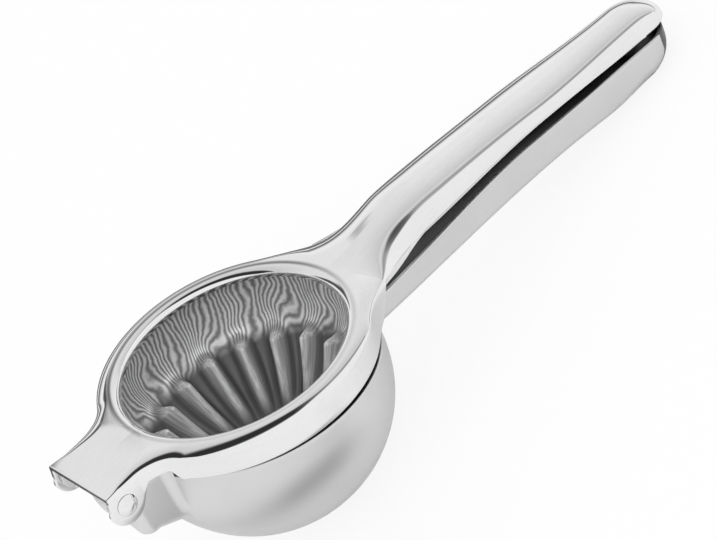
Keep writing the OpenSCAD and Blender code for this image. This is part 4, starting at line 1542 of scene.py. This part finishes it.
def studio_card(name, low, high, height, tone, fade):
    """A flat card above or below the object that only the steel's reflections see. It spans from
    low to high, at a height, and fade gives its share of cover from its X and Y."""
    card = sheet(name, low, high, height)
    material, g = new_material(name)
    x, y, _ = g.split(g.node("ShaderNodeTexCoord").out("Object"))
    clear = g.node("ShaderNodeBsdfTransparent")
    dark = g.node("ShaderNodeEmission", values={"Color": (tone, tone, tone, 1), "Strength": 1.0})
    g.node("ShaderNodeOutputMaterial", values={"Surface": g.between(fade(x, y), clear, dark)})
    card.data.materials.append(material)
    card.visible_camera = card.visible_diffuse = card.visible_shadow = False


class SQUEEZER_OT_stage(Operator):
    """Makes the floor, the world, the lamps and the camera"""

    bl_idname = "squeezer.stage"
    bl_label = "Stage"

    def execute(self, context):
        look = settings("stage")
        self.world(context, look)
        self.floor(look)
        self.lamps(look)
        self.cards()
        self.camera(context)
        context.scene.view_settings.view_transform = "Standard"
        return {"FINISHED"}

    def world(self, context, look):
        """The camera sees the backdrop, the steel's reflections see the studio's walls, and all
        else is lit by a plain level."""
        world = bpy.data.worlds.new("studio")
        context.scene.world = world
        world.use_nodes = True
        world.node_tree.nodes.clear()
        g = Graph(world.node_tree)
        path = g.node("ShaderNodeLightPath")
        _, y, z = g.split(g.node("ShaderNodeTexCoord").out("Generated"))
        # Walls and ceiling, from behind the object over the top to the front
        over = z.least(0.0).math("ARCTAN2", y) / math.pi
        tone = g.node("ShaderNodeValToRGB", {"stops": STUDIO}, {"Fac": over})
        walls, own, shown = (
            g.node("ShaderNodeBackground", values={"Color": colour, "Strength": strength})
            for colour, strength in (
                (tone, 1.0), ((1, 1, 1, 1), look.ambient), (tuple(look.back) + (1,), 1.0)
            )
        )
        both = g.between(path.out("Is Glossy Ray"), own, walls)
        seen = (path.out("Is Camera Ray") + path.out("Is Transmission Ray")).most(1.0)
        g.node("ShaderNodeOutputWorld", values={"Surface": g.between(seen, both, shown)})

    def floor(self, look):
        """A pale floor that keeps the object's shadow."""
        floor = sheet("floor", (-4, -4), (4, 4), 0)
        material, g = new_material("floor_paper")
        paper = g.node("ShaderNodeBsdfDiffuse", values={"Color": tuple(look.floor) + (1,)})
        light = g.node("ShaderNodeEmission", values={"Color": (1, 1, 1, 1), "Strength": 1.0})
        seen = g.node("ShaderNodeLightPath").out("Is Camera Ray") * FLOOR_GLOW
        g.node("ShaderNodeOutputMaterial", values={"Surface": g.between(seen, paper, light)})
        floor.data.materials.append(material)

    def lamps(self, look):
        """Two soft area lamps, which the steel doesn't reflect."""
        for name, place, size, power in (
            ("key", (-0.5, -1.0, 1.5), 1.6, look.key),
            ("fill", (0.9, 0.8, 1.4), 1.4, look.key * 0.5),
        ):
            data = bpy.data.lights.new(name, "AREA")
            data.shape, data.size, data.energy = "SQUARE", size, power
            lamp = linked(name, data)
            lamp.location = place
            lamp.rotation_euler = (-Vector(place)).to_track_quat("-Z", "Y").to_euler()
            lamp.visible_glossy = False

    def cards(self):
        """Soft dark cards, in metres: a strip overhead that is strongest over the ring, the far
        floor that draws the far edges, and a ring on the floor around the bowl with a band beside
        the handle, a painted shadow that only the steel's reflections see."""

        def band(at, middle, half, start, end=1.0):
            """1 in the middle of a band, softly down to 0 at its sides."""
            return 1 - ((at - middle).math("ABSOLUTE") / half).ramp(start, end)

        def overhead(x, y):
            wide = 0.085 - x.ramp(0.085, 0.18) * 0.05
            near = band(y, -0.035, wide, 0.5, 1.05) * (1 - x.ramp(0.1, 0.24) * 0.5)
            far = y.ramp(0.35, 0.42) * (1 - y.ramp(0.6, 0.75)) * (1 - x.ramp(0.15, 0.21)) * 0.93
            return near + far

        def behind(x, y):
            reach = 0.95 - x.ramp(0.05, 0.2) * 0.1 - x.ramp(0.2, 0.32) * 0.85
            return y.ramp(0.08, 0.11) * (1 - y.ramp(0.3, 0.6)) * reach

        def around(x, y):
            ring = band((x * x + y * y) ** 0.5, 0.066, 0.024, 0.2)
            ring = ring * (1 - x.ramp(-0.01, 0.035)) * x.ramp(-0.07, -0.03)
            beside = band(y, -0.066, 0.022, 0.4) * x.ramp(0.05, 0.08) * (1 - x.ramp(0.1, 0.17))
            return ring * 0.75 + beside * 0.25

        studio_card("strip_card", (-0.4, -0.2), (1.2, 0.85), 0.3, 0.03, overhead)
        studio_card("far_card", (-3, 0.07), (3, 4), 0.001, 0.1, behind)
        # Painted shadow: a dark ring on the floor around the bowl, seen only in the steel's
        # reflections
        studio_card("floor_card", (-0.2, -0.1), (0.3, 0.1), 0.0015, 0.2, around)

    def camera(self, context):
        """The view was worked out in the ring's own frame, and is laid down with the object."""
        s = plan()
        az, el, roll = np.radians(VIEW_ANGLES)
        flat = math.cos(el)
        back = np.array([math.sin(az) * flat, -math.cos(az) * flat, math.sin(el)])
        right = np.cross([0, 0, 1.0], back)
        right /= np.linalg.norm(right)
        axes = np.array([right, np.cross(back, right), back])
        c, d = math.cos(roll), math.sin(roll)
        axes = np.array([[c, -d, 0], [d, c, 0], [0, 0, 1]]) @ axes
        eye = -axes.T @ np.array(VIEW_ORIGIN)
        turn, shift = laying(s)
        axes, eye = axes @ turn.T, (turn @ eye + shift) * MM
        data = bpy.data.cameras.new("camera")
        data.sensor_width = 36
        data.lens = VIEW_FOCAL * data.sensor_width / VIEW_WIDTH
        data.clip_start, data.clip_end = 0.05, 20
        camera = linked("camera", data)
        placed = Matrix(axes.T.tolist()).to_4x4()
        placed.translation = Vector(eye)
        camera.matrix_world = placed
        context.scene.camera = camera


OPERATORS = (
    SQUEEZER_OT_press_arm,
    SQUEEZER_OT_press_cup,
    SQUEEZER_OT_juice_bowl,
    SQUEEZER_OT_lower_handle,
    SQUEEZER_OT_hinge_pin,
    SQUEEZER_OT_hinge_washers,
    SQUEEZER_OT_stage,
)


class SQUEEZER_PT_panel(Panel):
    """Lists the squeezer's pieces and sizes in the 3D view's sidebar"""

    bl_idname = "SQUEEZER_PT_panel"
    bl_label = "Lemon squeezer"
    bl_space_type = "VIEW_3D"
    bl_region_type = "UI"
    bl_category = "Squeezer"

    def draw(self, context):
        for operator in OPERATORS:
            self.layout.operator(operator.bl_idname, text=operator.bl_label)
        for key, group in GROUPS.items():
            box = self.layout.box()
            box.label(text=key.capitalize())
            for name in group.__annotations__:
                box.prop(settings(key), name)


CLASSES = (*GROUPS.values(), *OPERATORS, SQUEEZER_PT_panel)


def register():
    for cls in CLASSES:
        bpy.utils.register_class(cls)
    for key, group in GROUPS.items():
        setattr(bpy.types.Scene, "squeezer_" + key, PointerProperty(type=group))


def unregister():
    for key in GROUPS:
        delattr(bpy.types.Scene, "squeezer_" + key)
    for cls in reversed(CLASSES):
        bpy.utils.unregister_class(cls)


def main():
    """Builds the squeezer."""
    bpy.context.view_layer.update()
    register()
    for operator in OPERATORS:
        getattr(bpy.ops.squeezer, operator.bl_idname.split(".")[1])()


if __name__ == "__main__":
    main()
